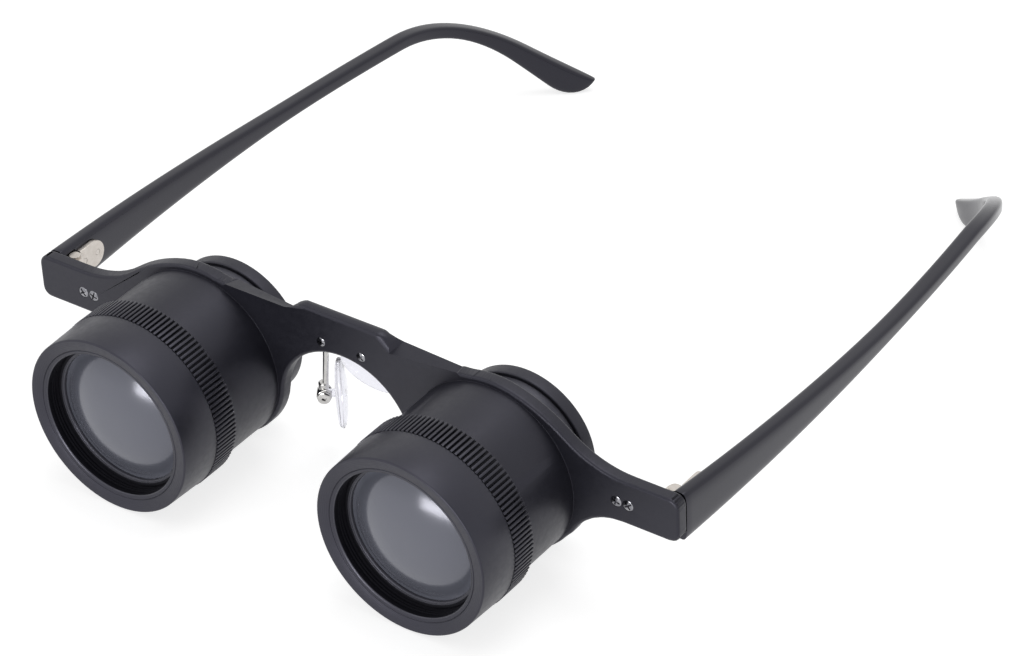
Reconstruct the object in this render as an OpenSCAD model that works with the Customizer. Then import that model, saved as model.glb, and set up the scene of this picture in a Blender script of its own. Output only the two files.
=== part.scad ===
// Binocular glasses: a moulded spectacle front that carries two small Galilean telescopes.
// The pieces are drawn in the wearer's frame: X across the face, Y back towards the ears, Z up,
// with Y zero on the plate's front face and Z zero on the telescope axes.
// settle() then stands the whole object on its grip bands and its two temple tips.

/* [Front plate] */
// Distance between the two telescope axes
barrel_spacing = 64; // [61:0.5:68]
// Thickness of the moulded plate
plate_t = 2.7; // [2.4:0.1:4]
// Width of the plate over both ends
plate_w = 140.6; // [136:0.2:146]
// Radius of the plate's rim round each telescope
rim_r = 18; // [17.6:0.1:19]
// How far the rim draws in at the bottom of each telescope
rim_low_in = 1; // [0.5:0.1:1]
// How far the plate's top edge lies below the rims' tops
plate_top_in = 0.8; // [0.5:0.1:1.5]
// Rise of the raised middle block over the plate's top edge
block_rise = 1.7; // [0.8:0.1:2.5]
// Width of the raised middle block
block_w = 18; // [12:0.5:24]
// Width of the slope at each end of the middle block
block_slope = 1.9; // [0.5:0.1:4]
// Height of the nose arch's crown over the telescope axes
arch_top = 10.9; // [9:0.1:12]
// Height of each end's top edge over the telescope axes
end_top = 7.6; // [6.5:0.1:9]
// Height of each end's lower edge, below the telescope axes when negative
end_low = -1.2; // [-2.5:0.1:0]
// Corner radius of each end
end_r = 1.8; // [0.5:0.1:3]
// Radius of the shoulder beside each rim
shoulder_r = 30; // [26:1:34]
// Angle on the rim at which the shoulder starts
shoulder_a = 75; // [70:1:80]
// Radius of the hollow over each arm
arm_hollow_r = 20; // [14:1:26]
// Radius of the hollow under each arm
arm_under_r = 12; // [8:1:16]

/* [Barrel housing] */
// How far the housing stands in from the rim
housing_in = 1.1; // [1:0.1:1.6]
// Length of the housing in front of the plate
housing_l = 12.9; // [10:0.1:16]
// Radius of the hollow where the housing meets the plate
housing_fillet = 1.6; // [1:0.1:3]
// How far the sleeve that the focus ring turns on stands in from the housing
sleeve_in = 2; // [1.8:0.05:2.3]
// Length of the sleeve in front of the housing
sleeve_l = 3.9; // [3:0.1:5]
// Thickness of the sleeve's wall
sleeve_wall = 1.1; // [0.9:0.05:1.3]
// Depth of the web behind the bore, measured in front of the plate's rear face
web_t = 3.4; // [2.5:0.1:5]
// Width of the web between the bore and the eyepiece's hole
web_w = 2.2; // [1.8:0.1:2.8]

/* [Focus ring] */
// How far the smooth front part stands out from the housing
ring_proud = 0.6; // [0.3:0.1:1]
// Length of the smooth front part
ring_front_l = 8.5; // [6:0.1:10]
// Length of the grip band
grip_l = 5.2; // [4:0.1:7]
// How far the grip band stands out from the smooth front part
grip_proud = 0.4; // [0.1:0.1:0.8]
// Number of flutes round the grip band
flutes = 88; // [60:4:110]
// Depth of the flutes
flute_d = 0.45; // [0.2:0.05:0.7]
// Width of the dark groove in front of the grip band
grip_groove = 0.25; // [0.1:0.05:0.5]
// Radius of the ring's rounded front edge
ring_edge = 0.3; // [0.2:0.1:2]
// How much wider than the housing's bore the opening in front of the lens is, in radius
hood_step = 0.5; // [0.4:0.05:0.7]
// Width of the bright chamfer round the opening
hood_chamfer = 0.35; // [0.1:0.05:0.6]
// How far the ring's front face slopes back to the opening
hood_dish = 0.6; // [0.1:0.1:1]
// Thickness of the core that the grip band sits on, over the sleeve
core_wall = 1.5; // [1.3:0.05:1.8]
// Depth of the pocket that holds the keeper, over the sleeve
pocket_step = 0.7; // [0.5:0.05:0.9]
// Thickness of the keeper washer
keeper_t = 1.6; // [1:0.1:2]

/* [Lens cell] */
// How far the cell can move back from its place at rest
cell_back_travel = 1.6; // [1.55:0.05:1.9]
// Thickness of the flange behind the objective lens
seat_floor_t = 0.8; // [0.6:0.1:1.2]
// Length of the cell's tube behind the flange
cell_tube_l = 12; // [11:0.5:14]
// Radial gap between the cell's tube and the housing's bore
cell_gap = 0.1; // [0.05:0.01:0.2]
// Thickness of the cell's tube
cell_wall = 1; // [0.8:0.1:1.5]
// Thickness of the objective lens at its edge
lens_edge = 1.6; // [1.2:0.1:2]
// Height of the lens's front bulge
lens_front_sag = 3; // [1:0.1:3.2]
// Height of the lens's rear bulge
lens_rear_sag = 1.5; // [0.6:0.1:2]
// Thickness of the retaining ring
retainer_t = 0.8; // [0.5:0.1:1]
// Width of the retaining ring's flat
retainer_w = 0.55; // [0.4:0.05:1]
// Radius of the pin that keeps the cell from turning
guide_r = 0.7; // [0.5:0.05:0.9]
// Distance from the housing's front shoulder back to the guide pin
guide_back = 1.2; // [1:0.1:2]
// How deep the guide pin reaches into the cell's slot
guide_reach = 0.6; // [0.4:0.05:0.9]
// How deep the guide pin sits in the housing's wall
guide_grip = 1.8; // [1.2:0.1:2.2]

/* [Eyepiece] */
// How far the neck stands out round the web's hole
neck_step = 0.7; // [0.5:0.1:1.2]
// Length of the neck
neck_l = 5.6; // [4:0.1:8]
// How far the eyecup stands out from the neck
eyecup_step = 1.7; // [1.2:0.1:2.5]
// Thickness of the eyecup
eyecup_t = 2.8; // [2.4:0.1:4.5]
// Radius of the eyecup's rounded edges
eyecup_edge = 0.7; // [0.3:0.1:1]
// How far the eye lens is smaller than the web's hole, in radius
eye_lens_in = 1.9; // [1.6:0.1:2.5]
// Width of the ledge that the eye lens sits on
eye_ledge = 0.8; // [0.6:0.1:1.5]
// Thickness of the eye lens at its edge
eye_lens_edge = 2.4; // [2:0.1:3]
// Depth of each hollow face of the eye lens
eye_lens_sag = 0.7; // [0.3:0.1:1]
// Thickness of the eye lens's retaining ring
eye_retainer_t = 0.8; // [0.5:0.1:1]
// Wall of the eyepiece tube's end inside the eyecup
eye_wall = 1.3; // [1:0.1:1.5]
// Depth of the eyecup's lip behind the tube's end
eyecup_lip = 1.4; // [1:0.1:1.8]

/* [Hinges] */
// Distance from the plate's end to each hinge pin
pin_inset = 4.1; // [3.8:0.1:4.6]
// Distance from the plate's rear face to each hinge pin
pin_y = 2.5; // [2.2:0.1:3]
// Height of the hinge's middle over the telescope axes
hinge_z = 2.9; // [2:0.1:4]
// Radius of the hinge pin
pin_r = 0.6; // [0.5:0.05:0.7]
// Radius of the hinge's knuckles
knuckle_r = 1.5; // [1.3:0.05:1.6]
// Height of the hinge
hinge_h = 5.4; // [4.5:0.1:6]
// Height of the middle knuckle
mid_knuckle_h = 2.4; // [2:0.1:3]
// Thickness of the hinge's two leaves
leaf_t = 0.9; // [0.6:0.05:1.1]
// Distance from the pin's axis out to the temple's leaf
leaf_proud = 1.2; // [1:0.05:1.4]
// Length of the hinge base past its inner screw
base_past = 1.7; // [1.4:0.1:2.2]
// Length of the leaf on the temple, from the pin to its rounded end
leaf_l = 8.2; // [6:0.1:11]
// Distance from the plate's end to the inner hinge screw
screw_inset = 12.6; // [12:0.1:13]
// Distance between the two hinge screws
screw_pitch = 2.4; // [2.3:0.1:3]
// Radius of the hinge screws' heads
hinge_head_r = 1.05; // [0.8:0.05:1.15]
// Thickness of the screws' heads
screw_head_t = 0.45; // [0.3:0.05:0.6]
// Radius of the rivets through the temple's leaf
rivet_r = 0.55; // [0.4:0.05:0.7]
// Depth of the rivets in the temple
rivet_depth = 1.2; // [0.8:0.1:1.3]

/* [Temples] */
// Height of the temple at the hinge
temple_root_h = 9.6; // [8:0.1:10.5]
// Height of the temple's thin part
temple_thin_h = 2.6; // [2.4:0.1:4]
// Thickness of the temple
temple_t = 3.2; // [2.8:0.1:4]
// Length over which the temple tapers
temple_taper_l = 68; // [60:1:90]
// Length of the straight part, from the plate to the ear bend
temple_straight_l = 100; // [90:0.5:108]
// Drop of the straight part over its length
temple_drop = 1.4; // [0:0.1:3]
// Radius of the ear bend
ear_r = 38; // [30:1:60]
// Angle of the ear bend
ear_angle = 47.5; // [40:0.5:55]
// Length of the straight end behind the ear bend
temple_tail_l = 12.5; // [5:0.5:25]
// Radius of the temple's outward bow, seen from above
bow_r = 570; // [450:10:900]
// Distance along the temple at which it is furthest out
bow_mid = 37; // [30:1:50]
// Distance along the temple at which its tip starts to curl in
curl_start = 103; // [95:1:115]
// Radius of the inward curl of the tip
curl_r = 54; // [40:1:80]
// Height of the temple's paddle end
paddle_h = 7; // [5:0.1:9]
// Length over which the paddle widens
paddle_l = 30; // [15:1:35]
// Length of the paddle's rounded end
paddle_round = 6; // [2:0.1:8]
// Share of the paddle's extra height that hangs below the temple's line
paddle_hang = 0.3; // [0:0.05:0.5]
// Power of the temple's rounded section: 2 is an ellipse, more is squarer
temple_square = 2.6; // [2:0.1:4]

/* [Nose pads] */
// Distance from the object's middle to each bridge screw
bridge_screw_x = 4.4; // [3.5:0.1:5.5]
// Height of the bridge screws over the telescope axes
bridge_screw_z = 12.5; // [12.2:0.1:13.5]
// Radius of the bridge screws' heads
bridge_head_r = 0.9; // [0.7:0.05:1.1]
// Width of the bracket behind the bridge
bracket_w = 14; // [12:0.5:16]
// Radius of the bracket's round ends
bracket_r = 1.3; // [1:0.1:1.6]
// Thickness of the bracket
bracket_t = 0.8; // [0.5:0.1:1]
// Radius of the pad arms' wire
wire_r = 0.55; // [0.3:0.05:0.6]
// Splay of the left pad, in degrees
pad_splay = 37; // [30:1:42]
// Distance from the object's middle to the left pad's box
left_box_x = 11.3; // [10.5:0.1:12]
// Distance from the plate's rear face to the left pad's box
left_box_back = 5.3; // [4.5:0.1:6.5]
// Distance of the left pad's box below the telescope axes
left_box_low = 6; // [4:0.1:8]
// Distance from the object's middle to the right pad's box
right_box_x = 0.4; // [0:0.1:1.5]
// Height of the right pad's box over the telescope axes
right_box_z = 10; // [9:0.1:11]
// Gap between the bracket and the right pad's box
right_box_gap = 0.3; // [0.2:0.05:0.8]
// How far the right pad hangs below its box
right_pad_drop = 6.3; // [5:0.1:6.5]
// Length of a nose pad
pad_l = 14.6; // [12:0.1:16]
// Width of a nose pad
pad_w = 8.6; // [7:0.1:10]
// Thickness of a nose pad
pad_t = 2.3; // [1.8:0.1:3]
// Width and height of the metal box that holds a pad
box_w = 2.8; // [2.4:0.1:3.4]
// Thickness of the metal box along its screw
box_t = 2.6; // [2.2:0.1:3.2]
// Height of the metal box, from its round end
box_h = 4; // [3.4:0.1:5]
// Width of the slot in the metal box
slot_w = 1; // [0.8:0.05:1.2]
// Gap between the metal box and the pad
pad_gap = 0.55; // [0.5:0.05:1]
// Radius of the pad screws
pad_screw_r = 0.4; // [0.3:0.05:0.5]

/* [Clearances] */
// Radial clearance of a turning or sliding fit
run_gap = 0.05; // [0.02:0.01:0.1]
// Radial clearance between pieces that are fixed together
seat_gap = 0.04; // [0.02:0.01:0.08]
// End clearance between pieces that move past each other
end_gap = 0.15; // [0.1:0.05:0.3]
// Gap between neighbouring hinge knuckles
knuckle_gap = 0.05; // [0.03:0.01:0.1]
// Gap between a wire's end and the box that it holds
wire_seat = 0.03; // [0.02:0.01:0.05]

/* [Hidden] */
$fn = 96;
LEFT = -1;
RIGHT = 1;
matte = "#26262b";
gloss = "#1b1b20";
dark = "#121215";
steel = "#b9bbbf";
glass = "#8d92ac";
clear = "#e6ebef";

// Points of an arc from angle a0 to angle a1
function arc(c, r, a0, a1, n) =
  [for (i = [0:n]) let (a = a0 + (a1 - a0) * i / n) [c[0] + r * cos(a), c[1] + r * sin(a)]];
// A direction scaled to length 1
function unit(v) = v / norm(v);
// A point on a cubic curve with four control points
function cubic(p, t) =
  pow(1 - t, 3) * p[0] + 3 * t * pow(1 - t, 2) * p[1] + 3 * t * t * (1 - t) * p[2] + pow(t, 3) * p[3];
// A number's sign times a power of its size, for rounded rectangles
function soft(v, n) = sign(v) * pow(abs(v), 2 / n);
// Join a list of lists of points into one list
function flat(lists) = [for (l = lists) for (p = l) p];

// Sizes that follow from the rim, from the outside in
end_x = plate_w / 2;
plate_top = rim_r - plate_top_in;
block_top = plate_top + block_rise;
rim_low_r = rim_r - rim_low_in;
housing_r = rim_r - housing_in;
ring_r = housing_r + ring_proud;
grip_r = ring_r + grip_proud;
sleeve_r = housing_r - sleeve_in;
core_r = sleeve_r + core_wall;
pocket_r = sleeve_r + pocket_step;
housing_bore = sleeve_r - sleeve_wall;
hood_r = housing_bore + hood_step;
cell_r = housing_bore - cell_gap;
cell_bore = cell_r - cell_wall;
web_bore = housing_bore - web_w;
neck_r = web_bore + neck_step;
eyecup_r = neck_r + eyecup_step;
eye_lens_r = web_bore - eye_lens_in;
eye_bore = eye_lens_r - eye_ledge;
pin_x = end_x - pin_inset;
screw_x = end_x - screw_inset;

// Outline of the plate's right half, from the top middle round to the arch's crown
rim_c = [barrel_spacing / 2, 0];
top_a = 180 - asin(plate_top / rim_r);
shoulder_c = rim_c + (rim_r - shoulder_r) * [cos(shoulder_a), sin(shoulder_a)];
hollow_z = end_top + arm_hollow_r;
hollow_c = [
  shoulder_c[0] + sqrt(pow(shoulder_r + arm_hollow_r, 2) - pow(hollow_z - shoulder_c[1], 2)),
  hollow_z
];
hollow_a = atan2(hollow_c[1] - shoulder_c[1], hollow_c[0] - shoulder_c[0]);
under_z = end_low - arm_under_r;
under_c = [rim_c[0] + sqrt(pow(rim_r + arm_under_r, 2) - pow(under_z, 2)), under_z];
under_a = atan2(under_z, under_c[0] - rim_c[0]);
arch_r = (pow(rim_c[0], 2) + pow(arch_top, 2) - pow(rim_r, 2)) / (2 * (rim_r + arch_top));
arch_c = [0, arch_top - arch_r];
arch_a = atan2(-arch_c[1], rim_c[0]);
// Radius of the rim's lower half, which draws in towards the bottom
function rim_at(a) = rim_low_r + (rim_r - rim_low_r) * pow(cos(a), 4);
function rim_points(a0, a1, n) =
  [for (i = [0:n]) let (a = a0 + (a1 - a0) * i / n) rim_c + rim_at(a) * [cos(a), sin(a)]];
half_outline = concat(
  [[block_w / 2, block_top], [block_w / 2 + block_slope, plate_top]],
  arc(rim_c, rim_r, top_a, shoulder_a, 6),
  arc(shoulder_c, shoulder_r, shoulder_a - 4, hollow_a, 5),
  arc(hollow_c, arm_hollow_r, 180 + hollow_a + 6, 270, 6),
  arc([end_x - end_r, end_top - end_r], end_r, 90, 0, 4),
  arc([end_x - end_r, end_low + end_r], end_r, 0, -90, 4),
  arc(under_c, arm_under_r, 90, 180 + under_a, 6),
  rim_points(under_a - 6, arch_a - 180, 24),
  arc(arch_c, arch_r, arch_a + 6, 90, 12)
);
plate_outline = concat(
  half_outline,
  [for (i = [len(half_outline) - 2:-1:0]) [-half_outline[i][0], half_outline[i][1]]]
);

// Places along the telescope axis, from the front face back
sleeve_front = -housing_l - sleeve_l;
ring_rear = -housing_l - end_gap;
grip_front = ring_rear - grip_l;
ring_shoulder = grip_front - grip_groove;
ring_front = ring_shoulder - ring_front_l;
hood_front = ring_front + hood_dish;
hood_slope = atan2(hood_dish, ring_r - ring_edge - hood_r - hood_chamfer);
rib_front = sleeve_front + end_gap;
keeper_front = sleeve_front - keeper_t;
pocket_front = keeper_front - end_gap;
flange_rear = keeper_front - end_gap - cell_back_travel;
lens_rear = flange_rear - seat_floor_t;
retainer_rear = lens_rear - lens_edge;
cell_front = retainer_rear - retainer_t;
flange_r = hood_r - run_gap;
seat_r = cell_r;
lens_r = seat_r - seat_gap;
cell_rear = flange_rear + cell_tube_l;
bore_rear = plate_t - web_t;
spigot_r = web_bore - seat_gap;
neck_rear = plate_t + neck_l;
eyecup_rear = neck_rear + eyecup_t;
eye_spigot_l = eyecup_t - eyecup_lip;
eye_spigot_r = neck_r - eye_wall;
eye_seat = neck_rear - eye_lens_edge - eye_retainer_t;
eye_seat_r = eye_lens_r + seat_gap;
guide_y = guide_back - housing_l;
guide_in = cell_r - guide_reach;
guide_out = housing_bore + guide_grip;

// Hinge places
pin_at = [pin_x, plate_t + pin_y, hinge_z];
leaf_out = pin_x + leaf_proud;
leaf_in = leaf_out - leaf_t;
root_x = end_x - temple_t / 2 - 0.1;
root_z = (end_top + end_low) / 2 - 0.65;

// Temple centre line: straight, then an arc down behind the ear and a straight end, bowed out and
// curled in at the tip
ear_l = ear_r * ear_angle * PI / 180;
temple_l = temple_straight_l + ear_l + temple_tail_l;
function temple_bend(s) = ear_angle * min(1, max(0, s - temple_straight_l) / ear_l);
function temple_tail(s) = max(0, s - temple_straight_l - ear_l);
function temple_x(s) =
  root_x + (pow(bow_mid, 2) - pow(s - bow_mid, 2)) / (2 * bow_r)
    - pow(max(0, s - curl_start), 2) / (2 * curl_r);
function temple_at(s) = let (b = temple_bend(s), st = min(s, temple_straight_l)) [
  temple_x(s),
  plate_t + end_gap + st + ear_r * sin(b) + temple_tail(s) * cos(ear_angle),
  root_z - temple_drop * st / temple_straight_l - ear_r * (1 - cos(b)) - temple_tail(s) * sin(ear_angle)
];
// Height of the temple: a taper that eases into the thin part, then the paddle
function temple_ease(s) =
  let (v = (temple_root_h - temple_thin_h) * (1 - s / temple_taper_l)) (v + sqrt(v * v + 1)) / 2;
function temple_paddle(s) =
  (paddle_h - temple_thin_h) * pow(max(0, s - temple_l + paddle_l) / paddle_l, 2);
function temple_round(s) =
  let (t = max(0, s - temple_l + paddle_round) / paddle_round) sqrt(max(0.0025, 1 - t * t));
function temple_full_h(s) = temple_thin_h + temple_ease(s) + temple_paddle(s);
// The paddle widens downwards and its rounded end runs up to its top edge
function temple_lift(s) = temple_full_h(s) * (1 - temple_round(s)) / 2 - paddle_hang * temple_paddle(s);
function temple_ring(s, sides) = let (
    dir = unit(temple_at(s + 0.05) - temple_at(max(0, s - 0.05))),
    across = unit(cross(dir, [0, 0, 1])),
    up = cross(across, dir),
    w = temple_t * pow(temple_round(s), 0.5),
    h = temple_full_h(s) * temple_round(s)
  ) [for (i = [0:sides - 1]) let (a = 360 * (i + 0.5) / sides)
      temple_at(s) + across * soft(cos(a), temple_square) * w / 2
        + up * (temple_lift(s) + soft(sin(a), temple_square) * h / 2)];
temple_steps = concat(
  [for (i = [0:9]) temple_straight_l * i / 10],
  [for (i = [0:14]) temple_straight_l + (temple_l - paddle_round - temple_straight_l) * i / 15],
  [for (a = [0:18:90]) temple_l - paddle_round * (1 - sin(a))]
);
temple_sides = 24;
temple_rings = [for (s = temple_steps) temple_ring(s, temple_sides)];

// Rest on the floor: turn the object until its grip bands and temple tips stand level
tip_low = min([for (p = flat(temple_rings)) p[2]]);
tip_y = max([for (p = flat(temple_rings)) if (p[2] < tip_low + 0.2) p[1]]);
pitch = atan2(-tip_low - grip_r, tip_y - grip_front);
function turned_y(y, z) = y * cos(pitch) - z * sin(pitch);
function turned_z(y, z) = y * sin(pitch) + z * cos(pitch);
floor_z = min(
  turned_z(grip_front, -grip_r),
  min([for (p = flat(temple_rings)) turned_z(p[1], p[2])])
);
front_y = turned_y(ring_front, ring_r - ring_edge);
back_y = max([for (p = flat(temple_rings)) turned_y(p[1], p[2])]);
shift_y = -(front_y + back_y) / 2;

module settle() translate([0, shift_y, -floor_z]) rotate([pitch, 0, 0]) children();
// Draw a right-hand piece, or its mirror image on the left
module on_side(side) settle() if (side == LEFT) mirror([1, 0, 0]) children(); else children();
// Stand a turned profile, given as radius and depth, on a telescope axis
module on_barrel(side) settle() translate([side * barrel_spacing / 2, 0, 0]) rotate([-90, 0, 0]) children();
module turned(points) rotate_extrude() polygon(points);
module washer(r_in, r_out, y0, y1) turned([[r_in, y0], [r_out, y0], [r_out, y1], [r_in, y1]]);
// Extrude a drawing in X and Z from depth y0 to depth y1
module slab(y0, y1) translate([0, y1, 0]) rotate([90, 0, 0]) linear_extrude(y1 - y0) children();
// A closed skin over a row of rings of points
module skin(rings) {
  n = len(rings[0]);
  last = len(rings) - 1;
  sides = [for (i = [0:last - 1]) for (j = [0:n - 1]) let (k = (j + 1) % n)
    each [[i * n + j, i * n + k, (i + 1) * n + k], [i * n + j, (i + 1) * n + k, (i + 1) * n + j]]];
  first_cap = [for (j = [n - 1:-1:0]) j];
  last_cap = [for (j = [0:n - 1]) last * n + j];
  polyhedron(flat(rings), concat(sides, [first_cap], [last_cap]));
}

// Front frame

module housing_solid() {
  turned([
    [housing_bore, sleeve_front], [sleeve_r, sleeve_front], [sleeve_r, -housing_l],
    [housing_r - 0.4, -housing_l], [housing_r, -housing_l + 0.4], [housing_r, plate_t],
    [web_bore, plate_t], [web_bore, bore_rear], [housing_bore, bore_rear]
  ]);
}

module housing_root() {
  turned(concat(
    [[housing_r - 1, plate_t / 2], [housing_r - 1, -housing_fillet]],
    arc([housing_r + housing_fillet, -housing_fillet], housing_fillet, 180, 90, 6),
    [[housing_r + housing_fillet, plate_t / 2]]
  ));
}

module screw_hole(x, z, shank_r, head_r) {
  translate([x, -1, z]) rotate([-90, 0, 0]) cylinder(r = shank_r, h = plate_t + 2);
  translate([x, -1, z]) rotate([-90, 0, 0]) cylinder(r = head_r, h = 1.05 + screw_head_t);
}

module front_frame() settle() color(matte) difference() {
  union() {
    slab(0, plate_t) polygon(plate_outline);
    intersection() {
      slab(-housing_fillet, plate_t) polygon(plate_outline);
      for (side = [LEFT, RIGHT])
        translate([side * rim_c[0], 0, 0]) rotate([-90, 0, 0]) housing_root();
    }
    for (side = [LEFT, RIGHT])
      translate([side * rim_c[0], 0, 0]) rotate([-90, 0, 0]) washer(web_bore, housing_r, -1, plate_t);
    for (side = [LEFT, RIGHT])
      translate([side * rim_c[0], 0, 0]) rotate([-90, 0, 0]) housing_solid();
  }
  for (side = [LEFT, RIGHT]) {
    translate([side * rim_c[0], sleeve_front - 1, 0]) rotate([-90, 0, 0])
      cylinder(r = housing_bore, h = bore_rear - sleeve_front + 1);
    translate([side * rim_c[0], bore_rear - 1, 0]) rotate([-90, 0, 0])
      cylinder(r = web_bore, h = web_t + 2);
    translate([side * rim_c[0], guide_y, 0]) rotate([180, 0, 0])
      cylinder(r = guide_r + seat_gap, h = guide_out + seat_gap);
    for (i = [0, 1])
      screw_hole(side * (screw_x + i * screw_pitch), hinge_z, pin_r + seat_gap, hinge_head_r + seat_gap);
    screw_hole(side * bridge_screw_x, bridge_screw_z, pad_screw_r + seat_gap, bridge_head_r + seat_gap);
  }
}

// Screws with a round head and a cross recess, sunk in the plate

module plate_screw(x, z, shank_r, head_r, reach) {
  translate([x, 0, z]) rotate([-90, 0, 0]) difference() {
    union() {
      translate([0, 0, 0.05]) cylinder(r = head_r, h = screw_head_t);
      translate([0, 0, screw_head_t]) cylinder(r = shank_r, h = reach - screw_head_t);
    }
    for (a = [0, 90]) rotate([0, 0, a + 20])
      translate([-head_r * 0.65, -head_r * 0.14, -0.1])
        cube([head_r * 1.3, head_r * 0.28, 0.1 + screw_head_t / 2]);
  }
}

module bridge_screws() settle() color(steel) for (side = [LEFT, RIGHT])
  plate_screw(side * bridge_screw_x, bridge_screw_z, pad_screw_r, bridge_head_r, plate_t + bracket_t + 0.4);

module hinge_screws(side) on_side(side) color(steel) for (i = [0, 1])
  plate_screw(screw_x + i * screw_pitch, hinge_z, pin_r, hinge_head_r, plate_t + leaf_t + 0.3);

// Focus ring with its grip band and keeper

module focus_ring(side) on_barrel(side) color(matte) turned(concat(
  [[hood_r, hood_front + hood_chamfer], [hood_r + hood_chamfer, hood_front]],
  arc([ring_r - ring_edge, ring_front + ring_edge], ring_edge, -90 - hood_slope, 0, 6),
  [
    [ring_r, ring_shoulder], [core_r, ring_shoulder], [core_r, ring_rear],
    [sleeve_r + run_gap, ring_rear], [sleeve_r + run_gap, rib_front],
    [pocket_r, rib_front], [pocket_r, pocket_front], [hood_r, pocket_front]
  ]
));

module grip_band(side) on_barrel(side) color(dark) translate([0, 0, grip_front]) difference() {
  linear_extrude(grip_l) polygon([for (i = [0:flutes - 1]) each [
    for (q = [[0.06, flute_d], [0.14, 0], [0.56, 0], [0.64, flute_d]])
      let (a = 360 * (i + q[0]) / flutes - 90) (grip_r - q[1]) * [cos(a), sin(a)]
  ]]);
  translate([0, 0, -1]) cylinder(r = core_r + seat_gap, h = grip_l + 2);
}

module ring_keeper(side) on_barrel(side) color(steel)
  washer(housing_bore, pocket_r - 2 * run_gap, keeper_front, sleeve_front);

module guide_pin(side) settle() color(steel)
  translate([side * rim_c[0], guide_y, 0]) rotate([180, 0, 0])
    translate([0, 0, guide_in]) cylinder(r = guide_r, h = guide_out - guide_in);

// Lens cell with the objective lens and its retaining ring

module lens_cell(side) on_barrel(side) color(dark) difference() {
  turned([
    [seat_r, cell_front], [flange_r, cell_front], [flange_r, flange_rear], [cell_r, flange_rear],
    [cell_r, cell_rear], [cell_bore, cell_rear], [cell_bore, lens_rear + seat_gap],
    [seat_r, lens_rear + seat_gap]
  ]);
  translate([-guide_r - seat_gap, cell_bore - 1, flange_rear + 1])
    cube([2 * (guide_r + seat_gap), 3, cell_tube_l]);
}

// Half of a lens face: points from the axis out, bulging by sag away from depth y
function lens_face(r, y, sag) = [for (i = [0:6]) let (q = r * i / 6) [q, y + sag * (1 - q * q / (r * r))]];

module lens(r, y0, y1, front_sag, rear_sag, face_r) {
  front = lens_face(face_r, y0, -front_sag);
  rear = lens_face(face_r, y1, rear_sag);
  turned(concat(front, [[r, y0], [r, y1]], [for (i = [6:-1:0]) rear[i]]));
}

module objective_lens(side) on_barrel(side) color(glass, 0.6)
  lens(lens_r, retainer_rear, lens_rear, lens_front_sag, lens_rear_sag, cell_bore - 0.1);

module objective_retainer(side) on_barrel(side) color(dark)
  washer(lens_r - retainer_w, lens_r, cell_front, retainer_rear);

// Eyepiece: tube with its hollow lens, retaining ring and eyecup

module eyepiece_tube(side) on_barrel(side) color(matte) turned([
  [eye_bore, bore_rear], [spigot_r, bore_rear], [spigot_r, plate_t], [neck_r, plate_t],
  [neck_r, neck_rear], [eye_spigot_r, neck_rear], [eye_spigot_r, neck_rear + eye_spigot_l],
  [eye_seat_r, neck_rear + eye_spigot_l], [eye_seat_r, eye_seat], [eye_bore, eye_seat]
]);

module eye_lens(side) on_barrel(side) color(glass, 0.6)
  lens(eye_lens_r, eye_seat, eye_seat + eye_lens_edge, -eye_lens_sag, -eye_lens_sag, eye_bore);

module eye_retainer(side) on_barrel(side) color(dark)
  washer(eye_bore, eye_lens_r, eye_seat + eye_lens_edge, neck_rear);

module eyecup(side) on_barrel(side) color(dark) turned(concat(
  [[eye_spigot_r + seat_gap, neck_rear]],
  arc([eyecup_r - eyecup_edge, neck_rear + eyecup_edge], eyecup_edge, -90, 0, 4),
  arc([eyecup_r - eyecup_edge, eyecup_rear - eyecup_edge], eyecup_edge, 0, 90, 4),
  [
    [eye_lens_r + 0.9, eyecup_rear], [eye_lens_r, neck_rear + eye_spigot_l + seat_gap],
    [eye_spigot_r + seat_gap, neck_rear + eye_spigot_l + seat_gap]
  ]
));

// Hinge: a base screwed behind the plate, a leaf on the temple and the pin between them

module hinge_base(side) on_side(side) color(steel) {
  low = hinge_z - hinge_h / 2;
  mid_low = hinge_z - mid_knuckle_h / 2 - knuckle_gap;
  mid_high = hinge_z + mid_knuckle_h / 2 + knuckle_gap;
  outer_knuckles = [[low, mid_low], [mid_high, low + hinge_h]];
  difference() {
    union() {
      slab(plate_t, plate_t + leaf_t) translate([screw_x - base_past, low])
        square([pin_x - screw_x - knuckle_r + base_past + 0.2, hinge_h]);
      for (z = outer_knuckles) translate([pin_at[0] - knuckle_r, plate_t, z[0]])
        cube([knuckle_r, pin_y, z[1] - z[0]]);
      for (z = outer_knuckles) translate([pin_at[0], pin_at[1], z[0]])
        cylinder(r = knuckle_r, h = z[1] - z[0]);
    }
    translate([pin_at[0], pin_at[1], low - 1]) cylinder(r = pin_r + seat_gap, h = hinge_h + 2);
    for (i = [0, 1]) translate([screw_x + i * screw_pitch, plate_t - 1, hinge_z])
      rotate([-90, 0, 0]) cylinder(r = pin_r + seat_gap, h = leaf_t + 2);
    translate([pin_at[0], pin_at[1], mid_low]) cylinder(r = knuckle_r + end_gap, h = mid_high - mid_low);
  }
}

module hinge_pin(side) on_side(side) color(steel) {
  translate([pin_at[0], pin_at[1], hinge_z - hinge_h / 2 - 0.1]) cylinder(r = pin_r, h = hinge_h + 0.3);
  translate([pin_at[0], pin_at[1], hinge_z + hinge_h / 2]) cylinder(r = knuckle_r * 0.7, h = 0.4);
}

module leaf_outline(grow) {
  r = hinge_h / 2 + grow;
  far = pin_at[1] + leaf_l - hinge_h / 2;
  near = pin_at[1] + knuckle_r + 0.3 - grow;
  translate([far, hinge_z]) circle(r = r);
  translate([near, hinge_z - r]) square([far - near, 2 * r]);
}

// Extrude a drawing in Y and Z from x0 to x1
module side_slab(x0, x1) translate([x0, 0, 0]) rotate([90, 0, 90]) linear_extrude(x1 - x0) children();

rivet_ys = [pin_at[1] + knuckle_r + 1.3, pin_at[1] + leaf_l - hinge_h / 2 + 0.9];

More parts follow.
